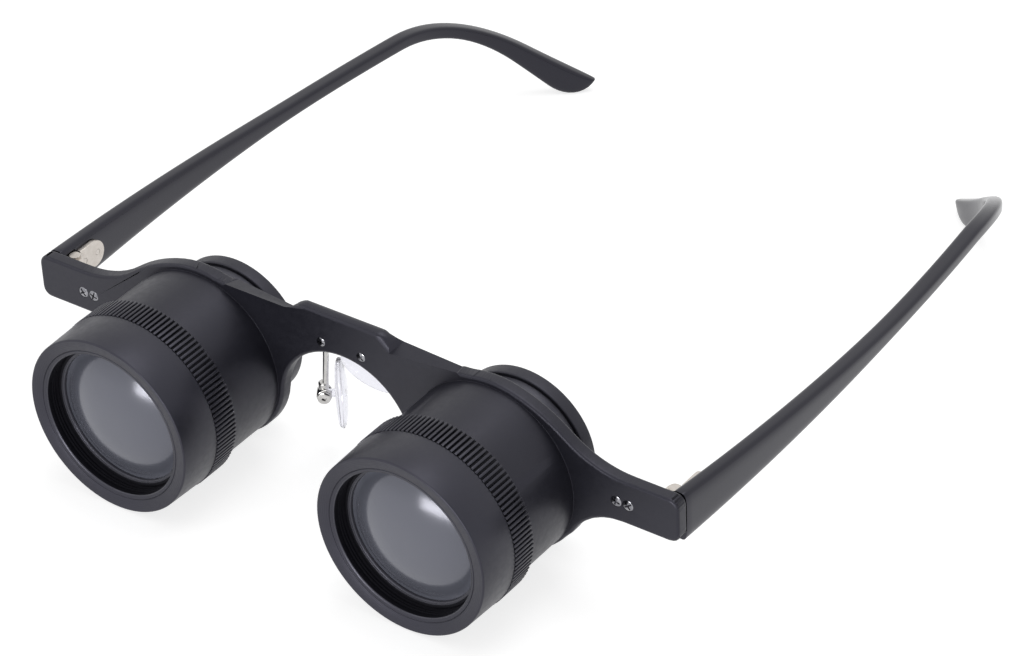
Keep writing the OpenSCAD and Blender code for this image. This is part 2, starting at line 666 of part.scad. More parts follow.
module hinge_leaf(side) on_side(side) color(steel) difference() {
  union() {
    side_slab(leaf_in, leaf_out) leaf_outline(0);
    translate([leaf_in, pin_at[1], hinge_z - mid_knuckle_h / 2]) cube([leaf_t, knuckle_r + 1, mid_knuckle_h]);
    translate([pin_at[0], pin_at[1], hinge_z - mid_knuckle_h / 2]) cylinder(r = knuckle_r, h = mid_knuckle_h);
  }
  translate([pin_at[0], pin_at[1], hinge_z - mid_knuckle_h])
    cylinder(r = pin_r + run_gap, h = 2 * mid_knuckle_h);
  for (y = rivet_ys) translate([leaf_in - 1, y, hinge_z]) rotate([0, 90, 0])
    cylinder(r = rivet_r + seat_gap, h = leaf_t + 2);
}

module leaf_rivets(side) on_side(side) color(steel) for (y = rivet_ys)
  translate([leaf_in + 0.05, y, hinge_z]) rotate([0, 90, 0]) cylinder(r = rivet_r, h = leaf_t + rivet_depth);

// Temple

module temple(side) on_side(side) color(gloss) difference() {
  skin(temple_rings);
  translate([pin_at[0], pin_at[1], hinge_z - hinge_h / 2 - 0.4])
    cylinder(r = knuckle_r + 0.3, h = hinge_h + 1);
  side_slab(leaf_in - 1, leaf_out) leaf_outline(0.1);
  translate([leaf_in - 1, pin_at[1] - 0.1, hinge_z - mid_knuckle_h / 2 - 0.1])
    cube([leaf_t + 1, knuckle_r + 1, mid_knuckle_h + 0.2]);
  for (y = rivet_ys) translate([leaf_in, y, hinge_z]) rotate([0, 90, 0])
    cylinder(r = rivet_r + seat_gap, h = leaf_t + rivet_depth + seat_gap);
}

// Nose pads. A pad and its box are drawn round the pad screw: X towards the nose, Y along the
// screw, Z up. The left pad hangs from its arm; the right pad is turned up flat behind the bridge.

left_box_at = [-left_box_x, plate_t + left_box_back, -left_box_low];
right_box_at = [right_box_x, plate_t + bracket_t + right_box_gap + box_w / 2, right_box_z];
box_r = box_w / 2;
pad_head_r = box_r / 2;
lug_t = slot_w - end_gap;

module at_pad(side) settle() {
  if (side == LEFT) translate(left_box_at) rotate([0, 0, pad_splay]) children();
  else translate(right_box_at) rotate([0, 0, 90]) children();
}

module pad_bracket() settle() color(steel) slab(plate_t, plate_t + bracket_t) difference() {
  union() {
    for (s = [LEFT, RIGHT])
      translate([s * (bracket_w / 2 - bracket_r), bridge_screw_z]) circle(r = bracket_r);
    translate([bracket_r - bracket_w / 2, bridge_screw_z - bracket_r])
      square([bracket_w - 2 * bracket_r, 2 * bracket_r]);
  }
  for (s = [LEFT, RIGHT]) translate([s * bridge_screw_x, bridge_screw_z]) circle(r = pad_screw_r + seat_gap);
}

// The wire leaves the bracket's end and bends round to the top of the box
arm_root = [bracket_w / 2 - bracket_r, plate_t + bracket_t + wire_r, bridge_screw_z];
left_arm_curve = [
  [-arm_root[0], arm_root[1], arm_root[2]], [-arm_root[0] - 3.2, arm_root[1] + 0.4, arm_root[2] + 1.6],
  left_box_at + [0.9, -0.1, 20], left_box_at + [0.5, 0, 11]
];
// The right arm meets the side of its box, above the pad screw's head
right_seat_z = pad_head_r + wire_r + end_gap;
right_root = arm_root - [0, wire_r / 2 - seat_gap, 0];
right_arm_curve = [
  right_root, right_root + [-1, 1.8, 0],
  right_box_at + [box_t / 2 + 2.3, 0, right_seat_z],
  right_box_at + [box_t / 2 + wire_seat, 0, right_seat_z]
];
left_arm_path = concat(
  [for (i = [0:10]) cubic(left_arm_curve, i / 10)],
  [left_box_at + [0.3, 0, box_h - box_r + wire_seat]]
);
right_arm_path = [for (i = [0:10]) cubic(right_arm_curve, i / 10)];

function wire_ring(path, i) = let (
    dir = unit(path[min(i + 1, len(path) - 1)] - path[max(i - 1, 0)]),
    across = unit(cross(dir, abs(dir[2]) > 0.9 ? [0, 1, 0] : [0, 0, 1])),
    up = cross(across, dir)
  ) [for (a = [0:45:315]) path[i] + wire_r * (across * cos(a) + up * sin(a))];

module pad_arm(side) settle() color(steel) {
  path = side == LEFT ? left_arm_path : right_arm_path;
  skin([for (i = [0:len(path) - 1]) wire_ring(path, i)]);
}

module pad_box(side) at_pad(side) color(steel) difference() {
  union() {
    translate([0, box_t / 2, 0]) rotate([90, 0, 0]) cylinder(r = box_r, h = box_t);
    translate([-box_r, -box_t / 2, 0]) cube([box_w, box_t, box_h - box_r]);
  }
  translate([-box_r / 2, -slot_w / 2, -box_r - 1]) cube([box_w, slot_w, box_h - 0.4]);
  translate([0, box_t / 2 + 1, 0]) rotate([90, 0, 0]) cylinder(r = pad_screw_r + seat_gap, h = box_t + 2);
}

module pad_screw(side) at_pad(side) color(steel) {
  translate([0, box_t / 2, 0]) rotate([90, 0, 0]) cylinder(r = pad_screw_r, h = box_t + 0.1);
  translate([0, -box_t / 2, 0]) rotate([90, 0, 0]) difference() {
    cylinder(r = pad_head_r, h = 0.35);
    translate([-box_r, -0.1, 0.2]) cube([2 * box_r, 0.2, 1]);
  }
}

// Rings of the soft pad, from its arm side to its nose side: half thickness place and width factor
pad_profile = [[0, 0.82], [0.12, 0.94], [0.35, 1], [0.65, 0.98], [0.86, 0.88], [1, 0.62]];
function pad_ring(x, f, turned) = [for (i = [0:27]) let (
    a = -360 * i / 28,
    wide = soft(cos(a), 2.3) * pad_w / 2 * f,
    tall = soft(sin(a), 2.3) * (pad_l / 2 - pad_w / 2 * (1 - f))
  ) turned ? [x, tall, -wide] : [x, wide, tall]];

module nose_pad(side) at_pad(side) color(clear, 0.5) {
  turned = side == RIGHT;
  drop = turned ? right_pad_drop : 0;
  pad_x = box_r + pad_gap;
  translate([0, 0, -drop]) skin([for (q = pad_profile) pad_ring(pad_x + q[0] * pad_t, q[1], turned)]);
  difference() {
    translate([0, lug_t / 2, 0]) rotate([90, 0, 0]) linear_extrude(lug_t)
      polygon([[-0.6, 0.7], [-0.6, -0.6], [pad_x + 0.5, -0.8 - drop], [pad_x + 0.5, 0.7 - drop], [0.5, 0.7]]);
    translate([0, 2, 0]) rotate([90, 0, 0]) cylinder(r = pad_screw_r + run_gap, h = 4);
  }
}

front_frame();
pad_bracket();
bridge_screws();
focus_ring(LEFT);  // left_focus_ring
grip_band(LEFT);  // left_grip_band
ring_keeper(LEFT);  // left_ring_keeper
guide_pin(LEFT);  // left_guide_pin
lens_cell(LEFT);  // left_lens_cell
objective_lens(LEFT);  // left_objective_lens
objective_retainer(LEFT);  // left_objective_retainer
eyepiece_tube(LEFT);  // left_eyepiece_tube
eyecup(LEFT);  // left_eyecup
eye_lens(LEFT);  // left_eye_lens
eye_retainer(LEFT);  // left_eye_retainer
hinge_base(LEFT);  // left_hinge_base
hinge_screws(LEFT);  // left_hinge_screws
hinge_pin(LEFT);  // left_hinge_pin
hinge_leaf(LEFT);  // left_hinge_leaf
leaf_rivets(LEFT);  // left_leaf_rivets
temple(LEFT);  // left_temple
pad_arm(LEFT);  // left_pad_arm
pad_box(LEFT);  // left_pad_box
pad_screw(LEFT);  // left_pad_screw
nose_pad(LEFT);  // left_nose_pad
focus_ring(RIGHT);  // right_focus_ring
grip_band(RIGHT);  // right_grip_band
ring_keeper(RIGHT);  // right_ring_keeper
guide_pin(RIGHT);  // right_guide_pin
lens_cell(RIGHT);  // right_lens_cell
objective_lens(RIGHT);  // right_objective_lens
objective_retainer(RIGHT);  // right_objective_retainer
eyepiece_tube(RIGHT);  // right_eyepiece_tube
eyecup(RIGHT);  // right_eyecup
eye_lens(RIGHT);  // right_eye_lens
eye_retainer(RIGHT);  // right_eye_retainer
hinge_base(RIGHT);  // right_hinge_base
hinge_screws(RIGHT);  // right_hinge_screws
hinge_pin(RIGHT);  // right_hinge_pin
hinge_leaf(RIGHT);  // right_hinge_leaf
leaf_rivets(RIGHT);  // right_leaf_rivets
temple(RIGHT);  // right_temple
pad_arm(RIGHT);  // right_pad_arm
pad_box(RIGHT);  // right_pad_box
pad_screw(RIGHT);  // right_pad_screw
nose_pad(RIGHT);  // right_nose_pad
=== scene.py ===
import math

import bpy
from mathutils import Matrix, Vector


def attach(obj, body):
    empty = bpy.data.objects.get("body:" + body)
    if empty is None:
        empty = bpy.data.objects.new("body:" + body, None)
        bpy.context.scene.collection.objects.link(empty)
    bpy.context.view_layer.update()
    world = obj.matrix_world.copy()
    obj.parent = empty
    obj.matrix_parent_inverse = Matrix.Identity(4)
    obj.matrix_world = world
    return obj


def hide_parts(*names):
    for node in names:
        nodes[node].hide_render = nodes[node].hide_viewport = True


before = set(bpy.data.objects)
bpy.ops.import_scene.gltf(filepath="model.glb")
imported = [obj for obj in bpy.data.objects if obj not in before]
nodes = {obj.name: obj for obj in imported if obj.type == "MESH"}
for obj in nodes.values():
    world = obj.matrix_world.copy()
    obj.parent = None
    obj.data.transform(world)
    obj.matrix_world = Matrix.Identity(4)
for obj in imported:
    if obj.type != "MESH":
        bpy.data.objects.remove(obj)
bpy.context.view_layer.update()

# Pieces are drawn in the wearer's own directions, in millimetres: X across the face, Y back
# towards the ears, Z up, zero on the plate's front face and on the barrels' axes.
mm = 0.001
stance = {"pitch": 1.17774, "shiftY": -56.6544, "floorZ": -18.314}  # how they stand on the floor
toFloor = Matrix.Translation((0, stance["shiftY"] * mm, -stance["floorZ"] * mm))
settle = toFloor @ Matrix.Rotation(math.radians(stance["pitch"]), 4, "X")
sides = {"left": -1, "right": 1}
barrelX = 32.0
facing = 0.9  # how far a face's normal lies along an axis when the face counts as square to it


# Materials

coolShine = (0.84, 0.83, 1.0)
grain = {"fine": 5200, "coarse": 900, "smudge": 260, "cloud": 60}  # noise scales per metre
noise = {
    "detail": 3.0, "fineDetail": 2.0, "rough": 0.55,
    "colourSpan": (0.35, 0.65), "roughSpan": (0.3, 0.7),
}
relief = {"moulded": 0.35, "turned": 0.25, "marks": 0.5, "metal": 0.2, "shallow": 0.01}


def newMaterial(name, colour, roughness, metallic=0.0, specular=0.5):
    material = bpy.data.materials.new(name)
    material.use_nodes = True
    shader = material.node_tree.nodes["Principled BSDF"]
    shader.inputs["Base Color"].default_value = (*colour, 1)
    shader.inputs["Roughness"].default_value = roughness
    shader.inputs["Metallic"].default_value = metallic
    shader.inputs["Specular IOR Level"].default_value = specular
    if not metallic:
        shader.inputs["Specular Tint"].default_value = (*coolShine, 1)
    material.diffuse_color = (*colour, 1)
    return material


def addNode(owner, kind, links=None, **values):
    # A value sets the node's own property of that name, or else the input of that name
    tree = owner.node_tree
    node = tree.nodes.new(kind)
    for key, value in values.items():
        if hasattr(node, key):
            setattr(node, key, value)
        else:
            node.inputs[key.replace("_", " ")].default_value = value
    for socket, source in (links or {}).items():
        tree.links.new(source, node.inputs[socket])
    return node


def objectPlace(material, move=(0, 0, 0), turn=(0, 0, 0)):
    place = addNode(material, "ShaderNodeTexCoord")
    links = {"Vector": place.outputs["Object"]}
    mapping = addNode(material, "ShaderNodeMapping", links, vector_type="TEXTURE")
    mapping.inputs["Location"].default_value = move
    mapping.inputs["Rotation"].default_value = turn
    return mapping.outputs["Vector"]


def noiseAt(material, place, scale, detail=noise["detail"]):
    values = {"Scale": scale, "Detail": detail, "Roughness": noise["rough"]}
    return addNode(material, "ShaderNodeTexNoise", {"Vector": place}, **values).outputs["Fac"]


def varyColour(material, factor, low, high):
    shader = material.node_tree.nodes["Principled BSDF"]
    ramp = addNode(material, "ShaderNodeValToRGB", {"Fac": factor})
    first, last = ramp.color_ramp.elements
    first.position, last.position = noise["colourSpan"]
    first.color, last.color = (*low, 1), (*high, 1)
    material.node_tree.links.new(ramp.outputs["Color"], shader.inputs["Base Color"])


def varyRoughness(material, factor, low, high):
    shader = material.node_tree.nodes["Principled BSDF"]
    start, end = noise["roughSpan"]
    span = addNode(
        material, "ShaderNodeMapRange", {"Value": factor},
        From_Min=start, From_Max=end, To_Min=low, To_Max=high,
    )
    material.node_tree.links.new(span.outputs["Result"], shader.inputs["Roughness"])


def addBump(material, height, strength, depth, under=None):
    shader = material.node_tree.nodes["Principled BSDF"]
    links = {"Height": height}
    if under:
        links["Normal"] = under.outputs["Normal"]
    bump = addNode(material, "ShaderNodeBump", links, Strength=strength, Distance=depth * mm)
    material.node_tree.links.new(bump.outputs["Normal"], shader.inputs["Normal"])
    return bump


def mouldedPlastic(name, dark, light, rough, depth, specular=0.5):
    material = newMaterial(name, dark, rough[0], specular=specular)
    place = objectPlace(material)
    cloud = noiseAt(material, place, grain["cloud"])
    fine = noiseAt(material, place, grain["fine"], noise["fineDetail"])
    varyColour(material, cloud, dark, light)
    varyRoughness(material, noiseAt(material, place, grain["coarse"]), *rough)
    addBump(material, fine, relief["moulded"], depth)
    return material


lathe = {
    "dark": (0.009, 0.009, 0.013), "light": (0.013, 0.013, 0.019), "rough": (0.38, 0.46),
    "spacing": 0.36, "depth": 0.02, "wobble": 0.6, "detail": 2.0, "detailScale": 2.5,
    "waveLength": 0.314,  # how far apart a wave texture's rings are at scale one
}


def turnedPlastic(name, side):
    # Lathe marks: fine rings round the barrel's own axis
    material = newMaterial(name, lathe["dark"], lathe["rough"][0])
    centre = settle @ Vector((side * barrelX * mm, 0, 0))
    place = objectPlace(material, tuple(centre), (math.radians(stance["pitch"]), 0, 0))
    marks = addNode(
        material, "ShaderNodeTexWave", {"Vector": place}, wave_type="RINGS", rings_direction="Y",
        Scale=lathe["waveLength"] / (lathe["spacing"] * mm), Distortion=lathe["wobble"],
        Detail=lathe["detail"], Detail_Scale=lathe["detailScale"],
    )
    cloud = noiseAt(material, place, grain["cloud"])
    varyColour(material, cloud, lathe["dark"], lathe["light"])
    varyRoughness(material, noiseAt(material, place, grain["coarse"]), *lathe["rough"])
    fine = noiseAt(material, place, grain["fine"], noise["fineDetail"])
    under = addBump(material, fine, relief["turned"], relief["shallow"])
    addBump(material, marks.outputs["Fac"], relief["marks"], lathe["depth"], under)
    return material


def brushedMetal(name, dark, light, rough, strength=relief["metal"]):
    material = newMaterial(name, light, rough[0], metallic=1.0)
    place = objectPlace(material)
    coarse = noiseAt(material, place, grain["coarse"])
    varyColour(material, coarse, dark, light)
    varyRoughness(material, noiseAt(material, place, grain["fine"]), *rough)
    addBump(material, coarse, strength, relief["shallow"])
    return material


def clearGlass(name, colour, ior, rough, tint, clear=1.0):
    # Smudges show as slightly rougher patches
    material = newMaterial(name, colour, rough[0])
    shader = material.node_tree.nodes["Principled BSDF"]
    shader.inputs["Transmission Weight"].default_value = clear
    shader.inputs["IOR"].default_value = ior
    shader.inputs["Specular Tint"].default_value = (*tint, 1)
    varyRoughness(material, noiseAt(material, objectPlace(material), grain["smudge"]), *rough)
    return material


# Each plastic's darker and lighter colour, its roughness from and to, and its grain's depth
framePlastic = mouldedPlastic(
    "framePlastic", (0.006, 0.006, 0.009), (0.009, 0.009, 0.013), (0.38, 0.46), 0.02, 0.45
)
templePlastic = mouldedPlastic(
    "templePlastic", (0.004, 0.004, 0.006), (0.006, 0.006, 0.009), (0.16, 0.22), 0.004
)
eyepiecePlastic = mouldedPlastic(
    "eyepiecePlastic", (0.030, 0.030, 0.040), (0.110, 0.110, 0.125), (0.34, 0.44), 0.08
)
gripRubber = mouldedPlastic(
    "gripRubber", (0.009, 0.009, 0.012), (0.014, 0.014, 0.019), (0.36, 0.46), 0.01
)
eyecupRubber = mouldedPlastic(
    "eyecupRubber", (0.009, 0.009, 0.012), (0.014, 0.014, 0.018), (0.40, 0.52), 0.03
)
cellBlack = mouldedPlastic(
    "cellBlack", (0.007, 0.007, 0.008), (0.010, 0.010, 0.012), (0.36, 0.46), 0.01
)
# Matte black made darker and duller than the other plastics: painted shade for the ring bores, the
# lens cells and the gaps between the grip's ribs
recessBlackPaintedShade = mouldedPlastic(
    "recessBlackPaintedShade", (0.002, 0.002, 0.003), (0.003, 0.003, 0.004), (0.50, 0.62), 0.02, 0.2
)
# A lighter, smoother plastic, used on the objective retainers, and on the focus rings' bore
# chamfer as a painted highlight along the edge
bezelAndPaintedHighlight = mouldedPlastic(
    "bezelAndPaintedHighlight", (0.030, 0.030, 0.036), (0.042, 0.042, 0.050), (0.26, 0.34), 0.006
)
ringPlastic = {name: turnedPlastic(name + "RingPlastic", side) for name, side in sides.items()}
nickel = brushedMetal("nickel", (0.54, 0.50, 0.46), (0.60, 0.56, 0.52), (0.28, 0.34), 0.06)
mirrorSteel = brushedMetal("mirrorSteel", (0.50, 0.49, 0.48), (0.60, 0.59, 0.58), (0.04, 0.08))
# Darker than bare steel: painted shade for the dim surroundings that the polished screw heads
# mirror
screwSteelPaintedShade = brushedMetal("screwSteelPaintedShade", (0.18, 0.18, 0.20), (0.36, 0.36, 0.38), (0.08, 0.16))
pinSteel = brushedMetal("pinSteel", (0.30, 0.30, 0.31), (0.42, 0.42, 0.43), (0.25, 0.40))
coatedGlass = clearGlass("coatedGlass", (0.86, 0.87, 0.92), 1.60, (0.0, 0.04), (0.86, 0.84, 1.0))
# The objective's mid-grey body is a painted reflection: a partly opaque grey base colour stands in
# for the surroundings mirrored in the lens
objectiveGreyPaintedReflection = clearGlass(
    "objectiveGreyPaintedReflection", (0.130, 0.135, 0.165), 1.65, (0.16, 0.20), (0.90, 0.90, 1.0), 0.25
)
silicone = clearGlass("silicone", (0.80, 0.80, 0.86), 1.30, (0.10, 0.20), (0.96, 0.95, 1.0))
print("materials ready")


# Modelling helpers

facets = {"coarse": 96, "plain": 128, "fine": 180}  # steps round a turned piece
weld = {"cad": 0.001, "lathe": 0.002, "sliver": 0.006}  # distances that join vertices
mergeTurn = 1.0  # neighbouring faces that turn by fewer degrees become one


def deselect():
    bpy.ops.object.select_all(action="DESELECT")


def enterEdit():
    bpy.ops.object.mode_set(mode="EDIT")


def selectMesh():
    bpy.ops.mesh.select_all(action="SELECT")


def editAll():
    enterEdit()
    selectMesh()


def leaveEdit():
    bpy.ops.object.mode_set(mode="OBJECT")


def leaveOutwards():
    # All faces turned outwards first
    bpy.ops.mesh.normals_make_consistent(inside=False)
    leaveEdit()


def applyPlace():
    bpy.ops.object.transform_apply(location=True, rotation=True, scale=True)


def pick(*pieces):
    deselect()
    for piece in pieces:
        piece.select_set(True)
    bpy.context.view_layer.objects.active = pieces[0]


def named(name):
    piece = bpy.context.object
    piece.name = piece.data.name = name
    return piece


def drawLine(name, points):
    # A primitive drawn together to one point, then extruded along the line
    deselect()
    bpy.ops.mesh.primitive_plane_add(size=mm)
    piece = named(name)
    editAll()
    bpy.ops.mesh.merge(type="CENTER")
    bpy.ops.transform.translate(value=points[0])
    for here, there in zip(points, points[1:]):
        step = [b - a for a, b in zip(here, there)]
        bpy.ops.mesh.extrude_region_move(TRANSFORM_OT_translate={"value": step})
    return piece


def fillAndExtrude(step):
    # Fills the outline that was drawn last and makes a solid of it
    selectMesh()
    bpy.ops.mesh.edge_face_add()
    bpy.ops.mesh.extrude_region_move(TRANSFORM_OT_translate={"value": step})
    selectMesh()
    leaveOutwards()


def applyModifier(piece, kind, **values):
    pick(piece)
    modifier = piece.modifiers.new(kind.title(), kind)
    for key, value in values.items():
        setattr(modifier, key, value)
    bpy.ops.object.modifier_apply(modifier=modifier.name)


def roundEdges(piece, width, segments=2, angle=35):
    applyModifier(
        piece, "BEVEL", width=width * mm, segments=segments, limit_method="ANGLE",
        angle_limit=math.radians(angle), use_clamp_overlap=True,
    )


def smooth(piece, angle=38):
    pick(piece)
    bpy.ops.object.shade_smooth_by_angle(angle=math.radians(angle))


def weighNormals(piece):
    # Broad faces keep their own shading and the rounded edges carry the turn
    applyModifier(piece, "WEIGHTED_NORMAL", keep_sharp=True)


def putAt(piece, place):
    piece.matrix_world = place
    pick(piece)
    applyPlace()


def standUp(piece):
    pick(piece)
    putAt(piece, settle @ piece.matrix_world)


def dress(piece, body, slot, replaced, *materials):
    if materials:
        piece.data.materials.clear()
    for material in materials:
        piece.data.materials.append(material)
    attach(piece, body)
    for name in replaced:
        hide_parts(name)


def arc(centre, radius, start, end, steps):
    turns = [math.radians(start + (end - start) * i / steps) for i in range(steps + 1)]
    return [(centre[0] + radius * math.cos(a), centre[1] + radius * math.sin(a)) for a in turns]


def turnOnLathe(name, side, profile, steps=facets["plain"], rounding=0.08, closed=True):
    # The profile is radius and depth along the barrel; a closed one goes back to its start
    centre = side * barrelX
    ends = [profile[0]] if closed else []
    piece = drawLine(name, [((centre + r) * mm, y * mm, 0) for r, y in profile + ends])
    selectMesh()
    bpy.ops.mesh.spin(steps=steps, angle=math.tau, center=(centre * mm, 0, 0), axis=(0, 1, 0))
    selectMesh()
    bpy.ops.mesh.remove_doubles(threshold=weld["lathe"] * mm)
    leaveOutwards()
    if rounding:
        roundEdges(piece, rounding)
    smooth(piece)
    return piece


def paintFaces(piece, slotIndex, chosen):
    for face in piece.data.polygons:
        if chosen(face.center / mm):
            face.material_index = slotIndex


def combine(piece, other, operation):
    applyModifier(piece, "BOOLEAN", operation=operation, object=other, solver="EXACT")
    bpy.data.objects.remove(other, do_unlink=True)


def carve(piece, cutter):
    combine(piece, cutter, "DIFFERENCE")


def polishedCopy(nodeName, name, width, cutters=()):
    # The CAD node's loose triangles are merged into plain faces, and its edges are broken
    piece = nodes[nodeName].copy()
    piece.data = nodes[nodeName].data.copy()
    piece.parent = None
    for key in list(piece.keys()):
        del piece[key]
    bpy.context.collection.objects.link(piece)
    piece.name = piece.data.name = name
    pick(piece)
    editAll()
    bpy.ops.mesh.remove_doubles(threshold=weld["cad"] * mm)
    leaveOutwards()
    for cutter in cutters:
        carve(piece, cutter)
    # Material slots part the upright flats at each barrel's middle while faces are merged. A
    # flat face that went all the way round a barrel would be filled over its bore.
    for face in piece.data.polygons:
        flat = abs(face.normal.y) > facing
        face.material_index = flat + (flat and abs(face.center.x) > barrelX * mm)
    pick(piece)
    editAll()
    bpy.ops.mesh.remove_doubles(threshold=weld["sliver"] * mm)
    bpy.ops.mesh.dissolve_limited(angle_limit=math.radians(mergeTurn), delimit={"MATERIAL"})
    leaveEdit()
    for face in piece.data.polygons:
        face.material_index = 0
    if width:
        roundEdges(piece, width)
    smooth(piece)
    weighNormals(piece)
    return piece


# Front frame

plate = {
    "thick": 2.7, "edge": 0.55, "corner": 1.2, "corners": ((9.0, 18.9), (10.9, 17.2)),
    "rimEnd": ((26.7, 17.2),), "rimBlend": 1.6, "wallR": 16.95, "holeR": 1.3,
    "holes": ((57.7, 2.9), (60.1, 2.9), (4.4, 12.5)), "bevelSteps": 4, "lastEdge": 0.1,
    "near": 0.05, "onFace": 0.01, "lean": 0.1,
}
root = {
    "housingR": 16.9, "gap": 0.01, "cornerR": 0.06, "wide": 1.75, "long": 3, "skin": 0.003,
    "steps": 3,
}


def bevelEdges(piece, chosen, width):
    for kind in (piece.data.vertices, piece.data.polygons, piece.data.edges):
        kind.foreach_set("select", [False] * len(kind))
    for edge in piece.data.edges:
        edge.select = chosen(edge)
    enterEdit()
    bpy.ops.mesh.select_mode(type="EDGE")
    bpy.ops.mesh.bevel(offset=width * mm, segments=plate["bevelSteps"], affect="EDGES")
    bpy.ops.mesh.select_mode(type="VERT")
    leaveEdit()


def plateSpots(piece):
    upright = settle.inverted()
    return [(upright @ vertex.co) / mm for vertex in piece.data.vertices]


def fromSpot(spot, x, z):
    return math.hypot(abs(spot.x) - x, spot.z - z)


def roundCorners(piece, corners, width):
    # The raised middle block's corners, or those where the rims meet the plate's top
    pick(piece)
    spots = plateSpots(piece)
    at = lambda spot: any(fromSpot(spot, x, z) < plate["near"] for x, z in corners)
    bevelEdges(piece, lambda edge: all(at(spots[v]) for v in edge.vertices), width)


def roundOutline(piece):
    # The outline's front and rear edges, but not those round the barrels and the screws' holes
    pick(piece)
    spots, upright = plateSpots(piece), settle.inverted()
    turn = upright.to_3x3()
    walls, beside = set(), {}
    for face in piece.data.polygons:
        normal, spot = turn @ face.normal, (upright @ face.center) / mm
        hole = min(fromSpot(spot, x, z) for x, z in plate["holes"]) < plate["holeR"]
        outside = fromSpot(spot, barrelX, 0) > plate["wallR"]
        if abs(normal.y) < plate["lean"] and outside and not hole:
            walls.add(face.index)
        for key in face.edge_keys:
            beside.setdefault(key, []).append(face.index)

    def isEdge(edge):
        depths = [spots[v].y for v in edge.vertices]
        flat = all(min(abs(y), abs(y - plate["thick"])) < plate["onFace"] for y in depths)
        return flat and sum(index in walls for index in beside[edge.key]) == 1

    bevelEdges(piece, isEdge, plate["edge"])


def rootCutter(side):
    # Turns the housing's root down to a close inside corner
    inner, face, r = root["housingR"] + root["gap"], -root["skin"], root["cornerR"]
    outer = inner + root["wide"]
    profile = [(inner, -root["long"])] + arc((inner + r, face - r), r, 180, 90, root["steps"])
    profile += [(outer, face), (outer, -root["long"])]
    cutter = turnOnLathe("rootCutter", side, profile, steps=facets["fine"], rounding=0)
    standUp(cutter)
    return cutter


rootCutters = [rootCutter(side) for side in sides.values()]
frontFrame = polishedCopy("front_frame", "frontFrame", 0, rootCutters)
roundCorners(frontFrame, plate["corners"], plate["corner"])
roundCorners(frontFrame, plate["rimEnd"], plate["rimBlend"])
roundOutline(frontFrame)
roundEdges(frontFrame, plate["lastEdge"])
smooth(frontFrame)
weighNormals(frontFrame)
dress(frontFrame, "frame", "frame_plastic", ["front_frame"], framePlastic)
print("front frame done")


# Focus rings

ring = {
    "openR": 14.3, "chamfer": 0.2, "open": -26.4, "outerR": 17.5, "shoulderR": 17.75,
    "edge": 0.3, "edgeSteps": 6, "front": -27.0, "shoulder": -18.5, "coreR": 16.4, "rear": -13.05,
    "sleeveR": 14.95, "ribFront": -16.65, "pocketR": 15.6, "pocketFront": -18.55, "soft": 0.04,
    "lineR": 15.0, "lineWide": 0.2, "lineDeep": 0.1, "lineWall": 0.06,
    "threads": (-25.1, -24.5, -23.9), "threadDeep": 0.07, "threadHalf": 0.12,
    "highlightDeep": 0.3, "highlightFrom": 0.03, "highlightTo": 0.17,
}
ring["slope"] = (ring["open"] - ring["front"]) / (
    ring["outerR"] - ring["edge"] - ring["openR"] - ring["chamfer"]
)


def ringFace(radius):
    return ring["open"] - ring["slope"] * (radius - ring["openR"] - ring["chamfer"])


def focusRing(name, side):
    opening, line, edge, wall = ring["openR"], ring["lineR"], ring["edge"], ring["lineWall"]
    wide, floor = ring["lineWide"], ringFace(line) + ring["lineDeep"]
    profile = [
        (opening, ring["open"] + ring["chamfer"]), (opening + ring["chamfer"], ring["open"]),
        (line, ringFace(line)), (line + wall, floor),  # a fine line turned into the front face
        (line + wide - wall, floor), (line + wide, ringFace(line + wide)),
    ]
    lean = math.degrees(math.atan(ring["slope"]))
    corner = (ring["outerR"] - edge, ring["front"] + edge)
    profile += arc(corner, edge, -90 - lean, 0, ring["edgeSteps"])
    profile += [
        (ring["shoulderR"], ring["shoulder"]), (ring["coreR"], ring["shoulder"]),
        (ring["coreR"], ring["rear"]), (ring["sleeveR"], ring["rear"]),
        (ring["sleeveR"], ring["ribFront"]), (ring["pocketR"], ring["ribFront"]),
        (ring["pocketR"], ring["pocketFront"]), (opening, ring["pocketFront"]),
    ]
    for depth in reversed(ring["threads"]):  # thread grooves behind the front edge
        profile += [
            (opening, depth + ring["threadHalf"]), (opening + ring["threadDeep"], depth),
            (opening, depth - ring["threadHalf"]),
        ]
    piece = turnOnLathe(name + "FocusRing", side, profile, rounding=ring["soft"])
    looks = (ringPlastic[name], recessBlackPaintedShade, bezelAndPaintedHighlight)
    dress(piece, name + "_focus", "ring_plastic", [name + "_focus_ring"], *looks)
    fromAxis = lambda p: math.hypot(p.x - side * barrelX, p.z)
    boreR, highlightRear = opening + ring["chamfer"], ring["open"] + ring["highlightDeep"]
    start, end = opening + ring["highlightFrom"], opening + ring["highlightTo"]
    # Painted shade: the bore's faces behind the chamfer band take the darker recess black
    paintFaces(piece, 1, lambda p: fromAxis(p) < boreR and p.y > highlightRear)
    # Painted highlight: the chamfer band at the front of the bore takes the lighter plastic
    paintFaces(piece, 2, lambda p: start < fromAxis(p) < end and p.y < highlightRear)
    standUp(piece)


for name, side in sides.items():
    focusRing(name, side)
print("focus rings done")


# Grip bands

grip = {
    "front": -18.48, "rear": -13.05, "coreR": 16.44, "floorR": 17.3, "topR": 17.88, "ribs": 120,
    "ribWide": 0.62, "ribTop": 0.76, "ribEnd": 0.985, "ribGap": 0.02, "ribEdge": 0.07,
    "ribRoot": 0.2, "soft": 0.1,
}


